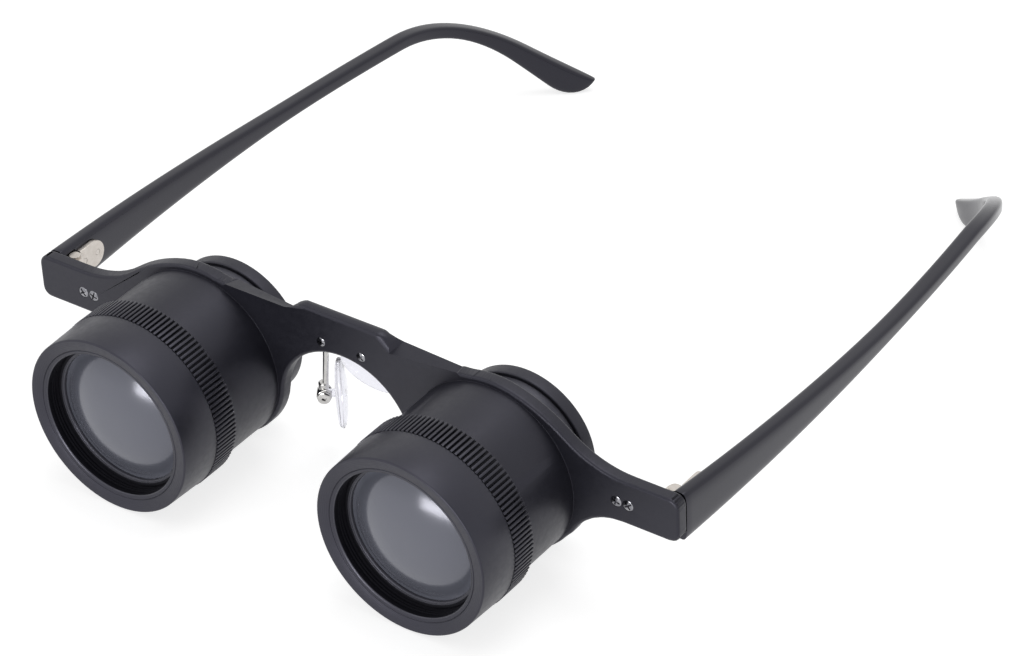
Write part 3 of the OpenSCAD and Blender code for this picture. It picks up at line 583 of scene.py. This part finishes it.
def gripBand(name, side):
    centre = side * barrelX
    middle, length = (grip["front"] + grip["rear"]) / 2, grip["rear"] - grip["front"]
    low = grip["floorR"] - grip["ribRoot"]
    across = (centre + (low + grip["topR"]) / 2) * mm
    deselect()
    bpy.ops.mesh.primitive_cube_add(size=1, location=(across, middle * mm, 0))
    ribs = named(name + "GripBand")
    ribLong = (length - 2 * grip["ribGap"]) * mm
    ribs.scale = ((grip["topR"] - low) * mm, ribLong, grip["ribWide"] * mm)
    bpy.ops.object.transform_apply(location=True, rotation=False, scale=True)
    enterEdit()
    bpy.ops.mesh.select_all(action="DESELECT")
    leaveEdit()
    for face in ribs.data.polygons:
        face.select = face.normal.x > facing
    enterEdit()
    bpy.ops.mesh.select_mode(type="FACE")
    bpy.ops.transform.resize(value=(1, grip["ribEnd"], grip["ribTop"]))
    bpy.ops.mesh.select_mode(type="VERT")
    selectMesh()
    bpy.ops.mesh.bevel(offset=grip["ribEdge"] * mm, segments=2, affect="EDGES")
    selectMesh()
    more = grip["ribs"] - 1
    bpy.ops.mesh.spin(
        steps=more, dupli=True, angle=math.tau * more / grip["ribs"],
        center=(centre * mm, 0, 0), axis=(0, 1, 0), use_auto_merge=False,
    )
    leaveEdit()
    profile = [
        (grip["coreR"], grip["front"]), (grip["floorR"], grip["front"]),
        (grip["floorR"], grip["rear"]), (grip["coreR"], grip["rear"]),
    ]
    band = turnOnLathe(name + "GripCore", side, profile, facets["fine"], grip["soft"])
    ribs.data.materials.append(gripRubber)
    # The core between the ribs takes the recess black, painted shade between them
    band.data.materials.append(recessBlackPaintedShade)
    pick(ribs, band)
    bpy.ops.object.join()
    smooth(ribs)
    dress(ribs, name + "_focus", "grip_plastic", [name + "_grip_band"])
    standUp(ribs)


for name, side in sides.items():
    gripBand(name, side)
print("grip bands done")


# Lens cells, their lenses and retaining rings

cell = {
    "front": -23.35, "lensFront": -22.55, "lensRear": -20.95, "flangeRear": -20.15,
    "rear": -8.15, "flangeR": 14.25, "tubeR": 13.7, "boreR": 12.7, "gap": 0.04,
    "baffles": 4, "baffleDepth": 0.2, "baffleMargin": 1, "baffleHalf": 0.45, "baffleRoot": 0.1,
    "lensR": 13.66, "clearR": 12.6, "bulgeFront": 3.4, "dome": 2.6, "bulgeRear": 1.5,
    "retainerIn": 13.11, "retainerSteps": ((0, 0.45), (0.12, 0.25), (0.28, 0.22), (0.34, 0)),
    "soft": 0.05, "retainerSoft": 0.04,
}
lensSteps = 20


def lensCell(name, side):
    bore = cell["boreR"]
    profile = [
        (cell["tubeR"], cell["front"]), (cell["flangeR"], cell["front"]),
        (cell["flangeR"], cell["flangeRear"]), (cell["tubeR"], cell["flangeRear"]),
        (cell["tubeR"], cell["rear"]), (bore, cell["rear"]),
    ]
    span = (cell["rear"] - cell["flangeRear"] - 2 * cell["baffleMargin"]) / cell["baffles"]
    for i in range(cell["baffles"]):  # baffle grooves that keep stray light down
        depth = cell["rear"] - cell["baffleMargin"] - (i + 0.5) * span
        profile += [
            (bore, depth + cell["baffleHalf"]),
            (bore + cell["baffleDepth"], depth + cell["baffleRoot"]),
            (bore, depth - cell["baffleHalf"]),
        ]
    lensSeat = cell["lensRear"] + cell["gap"]
    profile += [(bore, lensSeat), (cell["tubeR"], lensSeat)]
    piece = turnOnLathe(name + "LensCell", side, profile, facets["coarse"], cell["soft"])
    # The whole cell takes the recess black, painted shade deep in the barrel
    dress(piece, name + "_cell", "cell_plastic", [name + "_lens_cell"], recessBlackPaintedShade)
    standUp(piece)


def lensFace(radius, depth, bulge, power=2.0):
    return [
        (radius * i / lensSteps, depth + bulge * (1 - (i / lensSteps) ** power))
        for i in range(lensSteps + 1)
    ]


def turnedLens(name, side, front, rim, rear):
    # An open profile, from the middle of one face over the rim to the middle of the other
    profile = front + rim + rear[::-1]
    return turnOnLathe(name, side, profile, facets["coarse"], rounding=0, closed=False)


def objectiveGlass(name, side):
    front = lensFace(cell["clearR"], cell["lensFront"], -cell["bulgeFront"], cell["dome"])
    rim = [(cell["lensR"], cell["lensFront"]), (cell["lensR"], cell["lensRear"])]
    rear = lensFace(cell["clearR"], cell["lensRear"], cell["bulgeRear"])
    piece = turnedLens(name + "ObjectiveGlass", side, front, rim, rear)
    dress(piece, name + "_cell", "objective_glass", [name + "_objective_lens"], objectiveGreyPaintedReflection)
    standUp(piece)


def objectiveRetainer(name, side):
    # Stepped, as it shows in front of the lens
    inner, front = cell["retainerIn"], cell["front"]
    profile = [(inner + out, front + back) for out, back in cell["retainerSteps"]]
    profile += [
        (cell["lensR"], front), (cell["lensR"], cell["lensFront"]), (inner, cell["lensFront"]),
    ]
    label = name + "ObjectiveRetainer"
    piece = turnOnLathe(label, side, profile, facets["coarse"], cell["retainerSoft"])
    dress(piece, name + "_cell", "cell_plastic", [name + "_objective_retainer"], bezelAndPaintedHighlight)
    standUp(piece)


for name, side in sides.items():
    lensCell(name, side)
    objectiveGlass(name, side)
    objectiveRetainer(name, side)
print("lens cells done")


# Eyepieces

eye = {
    "front": -0.7, "plate": 2.7, "neckRear": 8.3, "tubeRear": 9.7, "cupRear": 11.1,
    "spigotR": 11.56, "neckR": 12.3, "flareR": 13.3, "tubeR": 11.0, "seatR": 9.74,
    "boreR": 8.9, "seat": 5.1, "cupR": 14.0, "cupEdge": 0.4, "edgeSteps": 6, "cupInner": 11.04,
    "lineR": 13.1, "lineIn": 0.16, "lineOut": 0.05, "lineDeep": 0.14,
    "lipR": 10.6, "lipWide": 0.5, "lipDrop": 0.15, "gap": 0.04,
    "lensR": 9.7, "lensRear": 7.5, "hollow": 0.7, "retainerEdge": 0.3,
    "soft": 0.08, "cupSoft": 0.06, "retainerSoft": 0.04,
}


def eyepieceTube(name, side):
    profile = [
        (eye["boreR"], eye["front"]), (eye["spigotR"], eye["front"]),
        (eye["spigotR"], eye["plate"]), (eye["neckR"], eye["plate"]),
        (eye["flareR"], eye["neckRear"]), (eye["tubeR"], eye["neckRear"]),
        (eye["tubeR"], eye["tubeRear"]), (eye["seatR"], eye["tubeRear"]),
        (eye["seatR"], eye["seat"]), (eye["boreR"], eye["seat"]),
    ]
    piece = turnOnLathe(name + "EyepieceTube", side, profile, facets["coarse"], eye["soft"])
    dress(piece, "frame", "ring_plastic", [name + "_eyepiece_tube"], eyepiecePlastic)
    standUp(piece)


def eyecup(name, side):
    edge, line, front, rear = eye["cupEdge"], eye["lineR"], eye["neckRear"], eye["cupRear"]
    outer, inner, seat = eye["cupR"] - edge, eye["cupInner"], eye["tubeRear"] + eye["gap"]
    profile = [
        (inner, front), (line - eye["lineIn"], front), (line, front + eye["lineDeep"]),
        (line + eye["lineOut"], front),
    ]
    profile += arc((outer, front + edge), edge, -90, 0, eye["edgeSteps"])
    profile += arc((outer, rear - edge), edge, 0, 90, eye["edgeSteps"])
    profile += [
        (eye["lipR"] + eye["lipWide"], rear), (eye["lipR"], rear - eye["lipDrop"]),
        (eye["lensR"], seat), (inner, seat),
    ]
    piece = turnOnLathe(name + "Eyecup", side, profile, rounding=eye["cupSoft"])
    dress(piece, "frame", "eyecup_rubber", [name + "_eyecup"], eyecupRubber)
    standUp(piece)


def eyeGlass(name, side):
    front = lensFace(eye["boreR"], eye["seat"], eye["hollow"])
    rim = [(eye["lensR"], eye["seat"]), (eye["lensR"], eye["lensRear"])]
    rear = lensFace(eye["boreR"], eye["lensRear"], -eye["hollow"])
    piece = turnedLens(name + "EyeGlass", side, front, rim, rear)
    dress(piece, "frame", "eye_glass", [name + "_eye_lens"], coatedGlass)
    standUp(piece)


def eyeRetainer(name, side):
    bore, rear, edge = eye["boreR"], eye["neckRear"], eye["retainerEdge"]
    profile = [
        (bore, eye["lensRear"]), (eye["lensR"], eye["lensRear"]), (eye["lensR"], rear),
        (bore + edge, rear), (bore, rear - edge),
    ]
    label = name + "EyeRetainer"
    piece = turnOnLathe(label, side, profile, facets["coarse"], eye["retainerSoft"])
    dress(piece, "frame", "cell_plastic", [name + "_eye_retainer"], cellBlack)
    standUp(piece)


for name, side in sides.items():
    eyepieceTube(name, side)
    eyecup(name, side)
    eyeGlass(name, side)
    eyeRetainer(name, side)
print("eyepieces done")


# Temples

temple = {
    "plate": 2.7, "gap": 0.15, "rootX": 68.6, "rootZ": 2.55, "rootH": 9.6, "thinH": 2.6,
    "thick": 3.2, "taper": 68, "straight": 100, "drop": 1.4, "earR": 38, "earTurn": 47.5,
    "tail": 12.5, "bowR": 570, "bowMid": 37, "curlStart": 103, "curlR": 54,
    "paddleH": 7, "paddleL": 30, "paddleRound": 6, "hang": 0.3, "power": 4.2,
    "rings": 84, "ringSides": 36, "probe": 0.05, "ease": 1, "tipShare": 0.0025, "tipStep": 9,
    "edge": 0.35, "edgeSteps": 3, "edgeAngle": 50, "shadeAngle": 32,
}
temple["ear"] = temple["earR"] * math.radians(temple["earTurn"])
temple["length"] = temple["straight"] + temple["ear"] + temple["tail"]


def templeCentre(s):
    # The middle of the section that lies s along the temple from its root
    t = temple
    end = math.radians(t["earTurn"])
    turned = end * min(1, max(0, s - t["straight"]) / t["ear"])
    tail, run = max(0, s - t["straight"] - t["ear"]), min(s, t["straight"])
    bow = (t["bowMid"] ** 2 - (s - t["bowMid"]) ** 2) / (2 * t["bowR"])
    curl = max(0, s - t["curlStart"]) ** 2 / (2 * t["curlR"])
    fall = t["drop"] * run / t["straight"]
    return Vector((
        t["rootX"] + bow - curl,
        t["plate"] + t["gap"] + run + t["earR"] * math.sin(turned) + tail * math.cos(end),
        t["rootZ"] - fall - t["earR"] * (1 - math.cos(turned)) - tail * math.sin(end),
    ))


def templeRing(s, side):
    # The section's outline: a soft oblong that tapers, widens to the paddle and closes at the tip
    t = temple
    back = templeCentre(max(0, s - t["probe"]))
    ahead = (templeCentre(s + t["probe"]) - back).normalized()
    across = ahead.cross(Vector((0, 0, 1))).normalized()
    up = across.cross(ahead)
    ease = (t["rootH"] - t["thinH"]) * (1 - s / t["taper"])
    share = max(0, s - t["length"] + t["paddleL"]) / t["paddleL"]
    paddle = (t["paddleH"] - t["thinH"]) * share ** 2
    high = t["thinH"] + (ease + math.sqrt(ease * ease + t["ease"])) / 2 + paddle
    near = max(0, s - t["length"] + t["paddleRound"]) / t["paddleRound"]
    close = math.sqrt(max(t["tipShare"], 1 - near * near))
    lift = high * (1 - close) / 2 - t["hang"] * paddle
    points = []
    for i in range(t["ringSides"]):
        a = math.tau * (i + 0.5) / t["ringSides"]
        soft = [math.copysign(abs(v) ** (2 / t["power"]), v) for v in (math.cos(a), math.sin(a))]
        point = templeCentre(s) + across * soft[0] * t["thick"] * close ** 0.5 / 2
        point += up * (lift + soft[1] * high * close / 2)
        points.append((side * point.x * mm, point.y * mm, point.z * mm))
    return points


hinge = {
    "pinX": 66.2, "pinY": 5.2, "z": 2.9, "high": 5.4, "midHigh": 2.4, "knuckleR": 1.5,
    "knuckleGap": 0.3, "leafOut": 67.4, "leafThick": 0.9, "leafLong": 8.2, "gap": 0.1, "over": 1,
    "bridgeMid": 1.2, "bridgeLong": 2.5, "leafSteps": 24, "knuckleSides": 48,
}


def leafCutter(side):
    # The recess for the hinge's leaf: a slab with a round far end
    r = hinge["high"] / 2 + hinge["gap"]
    far = hinge["pinY"] + hinge["leafLong"] - hinge["high"] / 2
    near = hinge["pinY"] + hinge["knuckleR"] + hinge["knuckleGap"] - hinge["gap"]
    bend = arc((0, 0), r, -90, 90, hinge["leafSteps"])
    outline = [(near, hinge["z"] - r)] + [(far + a, hinge["z"] + b) for a, b in bend]
    outline += [(near, hinge["z"] + r)]
    start = hinge["leafOut"] - hinge["leafThick"] - hinge["over"]
    piece = drawLine("leafCutter", [(side * start * mm, y * mm, z * mm) for y, z in outline])
    fillAndExtrude((side * (hinge["leafThick"] + hinge["over"]) * mm, 0, 0))
    return piece


def knuckleCutter(side):
    deselect()
    place = (side * hinge["pinX"] * mm, hinge["pinY"] * mm, (hinge["z"] + hinge["gap"]) * mm)
    bpy.ops.mesh.primitive_cylinder_add(
        vertices=hinge["knuckleSides"], radius=(hinge["knuckleR"] + hinge["knuckleGap"]) * mm,
        depth=(hinge["high"] + hinge["over"]) * mm, location=place,
    )
    return named("knuckleCutter")


def bridgeCutter(side):
    # Between the knuckle and the leaf
    deselect()
    start = hinge["leafOut"] - hinge["leafThick"] / 2 - hinge["over"] / 2
    thick, high = hinge["leafThick"] + hinge["over"], hinge["midHigh"] + 2 * hinge["gap"]
    bpy.ops.mesh.primitive_cube_add(
        size=1, scale=(thick * mm, hinge["bridgeLong"] * mm, high * mm),
        location=(side * start * mm, (hinge["pinY"] + hinge["bridgeMid"]) * mm, hinge["z"] * mm),
    )
    bpy.ops.object.transform_apply(location=False, rotation=False, scale=True)
    return named("bridgeCutter")


def templeArm(name, side):
    t = temple
    count = t["ringSides"]
    first = t["length"] - t["paddleRound"]
    tipTurns = [math.radians(a) for a in range(t["tipStep"], 91, t["tipStep"])]
    places = [first * i / t["rings"] for i in range(t["rings"] + 1)]
    places += [first + t["paddleRound"] * math.sin(turn) for turn in tipTurns]
    deselect()
    bpy.ops.mesh.primitive_circle_add(vertices=count, radius=mm, fill_type="NGON")
    piece = named(name + "Temple")
    editAll()
    for _ in places[1:]:  # one extrusion for each ring, placed on its section afterwards
        bpy.ops.mesh.extrude_region_move(TRANSFORM_OT_translate={"value": (0, 0, mm)})
    leaveEdit()
    for k, s in enumerate(places):
        vertices = piece.data.vertices[k * count:(k + 1) * count]
        for vertex, point in zip(vertices, templeRing(s, side)):
            vertex.co = point
    editAll()
    leaveOutwards()
    roundEdges(piece, t["edge"], t["edgeSteps"], t["edgeAngle"])
    for cutter in (leafCutter(side), knuckleCutter(side), bridgeCutter(side)):
        carve(piece, cutter)
    smooth(piece, t["shadeAngle"])
    dress(piece, name + "_temple", "temple_plastic", [name + "_temple"], templePlastic)
    standUp(piece)


for name, side in sides.items():
    templeArm(name, side)
print("temples done")


# Hinges and screws

hingeEdges = {"hinge_base": 0.06, "hinge_leaf": 0.07}
for name in sides:
    for part, width in hingeEdges.items():
        body = "frame" if part == "hinge_base" else name + "_temple"
        piece = polishedCopy(name + "_" + part, name + part.title().replace("_", ""), width)
        dress(piece, body, "hinge_metal", [name + "_" + part], nickel)

screw = {
    "headDeep": 0.45, "headMid": 0.275, "seat": 0.5, "frontReach": 0.1, "dome": 0.16,
    "domeSteps": ((0.86, 0.45), (0.66, 0.35), (0.33, 0.2)), "headSides": 40, "shankSides": 24,
    "shadeAngle": 30, "plateReach": 3.9, "hingeHead": 1.05, "hingeShank": 0.6,
    "bridgeHead": 0.9, "thinShank": 0.4,
}
cross = {"turns": (0, 90), "long": 0.78, "wide": 0.30, "deep": 0.36}
slot = {"turns": (30,), "long": 0.32, "wide": 0.64, "deep": 0.22}


def plateSeat(x, z, turn):
    return Matrix.Translation((x * mm, 0, z * mm)) @ Matrix.Rotation(math.radians(turn), 4, "Y")


def smallScrew(name, headR, shankR, reach, place, recess=cross):
    # A domed head with a cross recess or a slot, on a plain shank
    deselect()
    bpy.ops.mesh.primitive_cylinder_add(
        vertices=screw["headSides"], radius=headR * mm, depth=screw["headDeep"] * mm,
        location=(0, screw["headMid"] * mm, 0), rotation=(math.pi / 2, 0, 0),
    )
    piece = named(name)
    applyPlace()
    for face in piece.data.polygons:
        face.select = face.normal.y < -facing
    for edge in piece.data.edges:
        edge.select = False
    for vertex in piece.data.vertices:
        vertex.select = vertex.co.y < screw["frontReach"] * mm
    enterEdit()
    bpy.ops.mesh.select_mode(type="VERT")
    for inset, rise in screw["domeSteps"]:
        step = (0, -screw["dome"] * rise * mm, 0)
        bpy.ops.mesh.extrude_region_move(TRANSFORM_OT_translate={"value": step})
        bpy.ops.transform.resize(value=(inset, 1, inset))
    leaveEdit()
    long, deep, wide = 2 * headR * recess["long"], 2 * recess["deep"], headR * recess["wide"]
    for angle in recess["turns"]:
        deselect()
        bpy.ops.mesh.primitive_cube_add(
            size=1, location=(0, 0, 0), rotation=(0, math.radians(angle), 0),
            scale=(long * mm, deep * mm, wide * mm),
        )
        bpy.ops.object.transform_apply(location=False, rotation=True, scale=True)
        carve(piece, named("crossCutter"))
    deselect()
    bpy.ops.mesh.primitive_cylinder_add(
        vertices=screw["shankSides"], radius=shankR * mm, depth=(reach - screw["seat"]) * mm,
        location=(0, (reach + screw["seat"]) / 2 * mm, 0), rotation=(math.pi / 2, 0, 0),
    )
    shank = named("shank")
    applyPlace()
    pick(piece, shank)
    bpy.ops.object.join()
    smooth(piece, screw["shadeAngle"])
    putAt(piece, place)
    return piece


def screwPair(name, node, headR, shankR, places):
    pair = [smallScrew(name, headR, shankR, screw["plateReach"], place) for place in places]
    pick(*pair)
    bpy.ops.object.join()
    piece = named(name)
    dress(piece, "frame", "screw_steel", [node], screwSteelPaintedShade)
    standUp(piece)


for name, side in sides.items():
    outerHoles = zip(plate["holes"], (20, 55))  # the first two holes, and how the heads are turned
    places = [plateSeat(side * x, z, turn) for (x, z), turn in outerHoles]
    node = name + "_hinge_screws"
    screwPair(name + "HingeScrews", node, screw["hingeHead"], screw["hingeShank"], places)
bridgeX, bridgeZ = plate["holes"][2]
places = [plateSeat(x, bridgeZ, turn) for x, turn in ((-bridgeX, 10), (bridgeX, 40))]
screwPair("bridgeScrewPair", "bridge_screws", screw["bridgeHead"], screw["thinShank"], places)
print("hinges and screws done")


# Nose pads, their boxes and arms

pad = {
    "long": 14.6, "wide": 8.6, "thick": 2.3, "gap": 0.55, "drop": 6.3, "splay": 37,
    "fullness": 0.62, "narrow": 0.12, "crown": 0.8, "thin": 0.10, "middle": 1e-6,
    "lug": 0.85, "lugBack": 0.6, "lugTop": 0.7, "lugFoot": 0.8, "lugSink": 0.5, "lugEdge": 0.12,
    "around": 48, "bands": 24, "shadeAngle": 50, "bracketEdge": 0.1,
}
box = {
    "r": 1.4, "thick": 2.6, "high": 4.0, "edge": 0.3, "edgeSteps": 3, "collarR": 0.95,
    "bore": 0.45, "slotGap": 0.3, "slotDeep": 0.6, "slotDrop": 0.5, "sides": 48, "boreSides": 32,
    "shadeAngle": 35, "left": (-11.3, 8.0, -6.0), "right": (0.4, 5.2, 10.0),
    "head": {"left": 1.2, "right": 0.75}, "screwPast": 0.4,
}
padTurns = {"left": math.radians(pad["splay"]), "right": math.pi / 2}
padFrames = {
    name: Matrix.Translation(Vector(box[name]) * mm) @ Matrix.Rotation(padTurns[name], 4, "Z")
    for name in sides
}


def padDrop(piece, turned, low, drop):
    # A soft drop shape, flat towards its arm and crowned towards the nose
    for vertex in piece.data.vertices:
        x, y, z = vertex.co
        spread = math.hypot(y, z)
        if spread > pad["middle"]:
            full = spread ** pad["fullness"]
            y, z = y / spread * full, z / spread * full
        else:
            y, z = 0, 0
        narrow = 1 - pad["narrow"] * z  # a little narrower at its top
        thick = 0.5 + 0.5 * math.copysign(abs(x) ** pad["crown"], x)
        thick *= 1 - pad["thin"] * z * z
        wide, tall = y * narrow * pad["wide"] / 2, z * pad["long"] / 2
        if turned:
            wide, tall = z * pad["long"] / 2, -y * narrow * pad["wide"] / 2
        vertex.co = ((low + thick * pad["thick"]) * mm, wide * mm, (tall - drop) * mm)


def nosePad(name):
    turned = name == "right"
    low, drop = box["r"] + pad["gap"], pad["drop"] if turned else 0
    deselect()
    bpy.ops.mesh.primitive_uv_sphere_add(
        segments=pad["around"], ring_count=pad["bands"], radius=1, rotation=(0, math.pi / 2, 0)
    )
    piece = named(name + "NosePad")
    bpy.ops.object.transform_apply(location=False, rotation=True, scale=True)
    padDrop(piece, turned, low, drop)
    editAll()
    leaveOutwards()
    back, top, end = pad["lugBack"], pad["lugTop"], low + pad["lugSink"]
    outline = [
        (-back, top), (-back, -back), (end, -pad["lugFoot"] - drop), (end, top - drop),
        (pad["lugSink"], top),
    ]
    lug = drawLine(name + "PadLug", [(x * mm, -pad["lug"] / 2 * mm, z * mm) for x, z in outline])
    fillAndExtrude((0, pad["lug"] * mm, 0))
    roundEdges(lug, pad["lugEdge"])
    combine(piece, lug, "UNION")
    smooth(piece, pad["shadeAngle"])
    putAt(piece, padFrames[name])
    dress(piece, name + "_pad", "pad_silicone", [name + "_nose_pad"], silicone)
    standUp(piece)


def padBox(name):
    # A short barrel across the pad's screw, a collar for the wire, and a slot for the pad's lug
    r, thick, high = box["r"], box["thick"], box["high"] - box["r"]
    shapes = ((r, thick, 0, math.pi / 2), (box["collarR"], high, high / 2, 0))
    made = []
    for radius, length, up, turn in shapes:
        deselect()
        bpy.ops.mesh.primitive_cylinder_add(
            vertices=box["sides"], radius=radius * mm, depth=length * mm,
            location=(0, 0, up * mm), rotation=(turn, 0, 0),
        )
        applyPlace()
        made.append(named(name + "PadBox"))
        roundEdges(made[-1], box["edge"], box["edgeSteps"])
    piece, collar = made
    combine(piece, collar, "UNION")
    deselect()
    slotSize = (2 * r * mm, (pad["lug"] + box["slotGap"]) * mm, (2 * r + box["slotDeep"]) * mm)
    bpy.ops.mesh.primitive_cube_add(
        size=1, location=(r * 0.5 * mm, 0, -box["slotDrop"] * mm), scale=slotSize
    )
    bpy.ops.object.transform_apply(location=True, rotation=False, scale=True)
    carve(piece, named("slotCutter"))
    deselect()
    bpy.ops.mesh.primitive_cylinder_add(
        vertices=box["boreSides"], radius=box["bore"] * mm, depth=2 * thick * mm,
        rotation=(math.pi / 2, 0, 0),
    )
    applyPlace()
    carve(piece, named("boreCutter"))
    smooth(piece, box["shadeAngle"])
    putAt(piece, padFrames[name])
    dress(piece, "frame", "wire_metal", [name + "_pad_box"], mirrorSteel)
    standUp(piece)


wire = {
    "r": 0.55, "roundness": 4, "perKnot": 10, "knots": 8, "gap": 0.03, "overHead": 0.15,
    "leftRoot": (-5.7, 4.05, 12.5), "rightRoot": (5.7, 3.82, 12.5), "intoCollar": 0.5,
    "leftOut": (-3.2, 0.4, 1.6), "leftOver": (1.7, -0.1, 20), "leftDown": (1.2, 0, 11),
    "rightOut": (-1, 1.8, 0), "rightOver": 2.3,
}


def padArm(name, points):
    # A round wire bent along a smooth curve
    deselect()
    bpy.ops.curve.primitive_bezier_curve_add()
    piece = named(name + "PadArm")
    curve = piece.data
    curve.dimensions, curve.use_fill_caps = "3D", True
    curve.bevel_depth, curve.bevel_resolution = wire["r"] * mm, wire["roundness"]
    spline = curve.splines[0]
    spline.bezier_points.add(len(points) - 2)
    spline.resolution_u = wire["perKnot"]
    for knot, point in zip(spline.bezier_points, points):
        knot.handle_left_type = knot.handle_right_type = "AUTO"
        knot.co = Vector(point) * mm
    bpy.ops.object.convert(target="MESH")
    piece = bpy.context.object
    editAll()
    bpy.ops.mesh.remove_doubles(threshold=weld["cad"] * mm)
    leaveOutwards()
    smooth(piece, pad["shadeAngle"])
    dress(piece, "frame", "wire_metal", [name + "_pad_arm"], mirrorSteel)
    standUp(piece)


def alongCubic(a, b, c, d):
    shares = [i / wire["knots"] for i in range(wire["knots"] + 1)]
    return [
        a * (1 - t) ** 3 + b * 3 * t * (1 - t) ** 2 + c * 3 * t * t * (1 - t) + d * t ** 3
        for t in shares
    ]


leftBox, rightBox = Vector(box["left"]), Vector(box["right"])
leftRoot, rightRoot = Vector(wire["leftRoot"]), Vector(wire["rightRoot"])
overHead = box["r"] / 2 + wire["r"] + wire["overHead"]  # above the pad screw's head
boxSide = box["thick"] / 2
leftPath = alongCubic(
    leftRoot, leftRoot + Vector(wire["leftOut"]),
    leftBox + Vector(wire["leftOver"]), leftBox + Vector(wire["leftDown"]),
)
collarTop = box["high"] - box["r"] + wire["gap"]
leftPath.append(leftBox + Vector((wire["intoCollar"], 0, collarTop)))
rightPath = alongCubic(
    rightRoot, rightRoot + Vector(wire["rightOut"]),
    rightBox + Vector((boxSide + wire["rightOver"], 0, overHead)),
    rightBox + Vector((boxSide + wire["gap"], 0, overHead)),
)
padArm("left", leftPath)
padArm("right", rightPath)
for name in sides:
    nosePad(name)
    padBox(name)
    place = padFrames[name] @ Matrix.Translation((0, -(boxSide + screw["seat"]) * mm, 0))
    reach, headR = box["thick"] + box["screwPast"], box["head"][name]
    piece = smallScrew(name + "PadScrew", headR, screw["thinShank"], reach, place, slot)
    dress(piece, "frame", "screw_steel", [name + "_pad_screw"], mirrorSteel)
    standUp(piece)
piece = polishedCopy("pad_bracket", "padBracket", pad["bracketEdge"])
dress(piece, "frame", "wire_metal", ["pad_bracket"], mirrorSteel)
print("nose pads done")


# The small CAD nodes that stay get their finish here

finishes = {
    "ring_keeper": cellBlack, "guide_pin": pinSteel, "hinge_pin": nickel, "leaf_rivets": nickel,
}
for name in sides:
    for part, material in finishes.items():
        held = nodes[name + "_" + part]
        held.data.materials.clear()
        held.data.materials.append(material)


# Floor, world, lamps and camera

studio = {"floorSize": 3.0, "floorColour": 0.5, "floorGlow": 0.75, "fill": 0.42}


def lightPathMask(owner):
    # One for rays that the camera sees straight, mirrored or through glass, nothing for others
    path = addNode(owner, "ShaderNodeLightPath")
    total = path.outputs["Is Camera Ray"]
    for kind in ("Is Glossy Ray", "Is Transmission Ray"):
        links = {0: total, 1: path.outputs[kind]}
        adder = addNode(owner, "ShaderNodeMath", links, operation="ADD", use_clamp=True)
        total = adder.outputs["Value"]
    return total


def paleFloor():
    deselect()
    bpy.ops.mesh.primitive_plane_add(size=studio["floorSize"])
    floor = named("paleFloor")
    material = bpy.data.materials.new("paleFloor")
    material.use_nodes = True
    material.node_tree.nodes.clear()
    colour = (*[studio["floorColour"]] * 3, 1)
    diffuse = addNode(material, "ShaderNodeBsdfDiffuse", Color=colour)
    level = addNode(material, "ShaderNodeMath", {0: lightPathMask(material)}, operation="MULTIPLY")
    level.inputs[1].default_value = studio["floorGlow"]
    glow = addNode(material, "ShaderNodeEmission", {"Strength": level.outputs["Value"]})
    both = addNode(material, "ShaderNodeAddShader", {0: diffuse.outputs[0], 1: glow.outputs[0]})
    addNode(material, "ShaderNodeOutputMaterial", {"Surface": both.outputs[0]})
    floor.data.materials.append(material)


def paleWorld():
    world = bpy.data.worlds.new("paleWorld")
    bpy.context.scene.world = world
    world.use_nodes = True
    background = world.node_tree.nodes["Background"]
    background.inputs["Color"].default_value = (1, 1, 1, 1)
    links = {"Value": lightPathMask(world)}
    level = addNode(world, "ShaderNodeMapRange", links, To_Min=studio["fill"], To_Max=1.0)
    world.node_tree.links.new(level.outputs["Result"], background.inputs["Strength"])


def softLamp(name, place, target, wide, high, radiance):
    lamp = bpy.data.lights.new(name, "AREA")
    lamp.shape, lamp.size, lamp.size_y = "RECTANGLE", wide, high
    lamp.energy = radiance * math.pi * wide * high
    holder = bpy.data.objects.new(name, lamp)
    bpy.context.collection.objects.link(holder)
    holder.location = place
    aim = Vector(target) - Vector(place)
    holder.rotation_euler = aim.to_track_quat("-Z", "Y").to_euler()


lamps = {  # where each hangs, what it points at, its width, height and radiance
    "overhead": ((0.05, 0.10, 0.75), (0, 0, 0), 0.5, 0.5, 2.4),
    "sideFill": ((-0.6, -0.5, 0.5), (0, 0, 0.01), 0.4, 0.4, 1.2),
    "frontPanel": ((0.12, -0.75, 0.07), (0.01, -0.08, 0.02), 0.56, 0.15, 12.0),
}
paleFloor()
paleWorld()
for name, values in lamps.items():
    softLamp(name, *values)

view = {
    "eye": (366.65758906, -437.06693774, 410.46685247),
    "right": (0.81457642, 0.57868166, -0.03990973),
    "down": (0.30358455, -0.48394284, -0.82075316),
    "ahead": (-0.49426883, 0.65645019, -0.56988724),
    "focal": 3988.2143, "across": 1024, "sensor": 36, "clip": (0.01, 20),
}
camera = bpy.data.objects.new("camera", bpy.data.cameras.new("camera"))
bpy.context.collection.objects.link(camera)
upward, backward = [-v for v in view["down"]], [-v for v in view["ahead"]]
axes = Matrix((view["right"], upward, backward)).transposed().to_4x4()
camera.matrix_world = settle @ Matrix.Translation(Vector(view["eye"]) * mm) @ axes
camera.data.sensor_width = view["sensor"]
camera.data.lens = view["sensor"] * view["focal"] / view["across"]
camera.data.clip_start, camera.data.clip_end = view["clip"]
bpy.context.scene.camera = camera
bpy.context.scene.view_settings.view_transform = "Standard"
print("studio done")

bpy.ops.object.select_all(action="DESELECT")
bpy.context.view_layer.update()
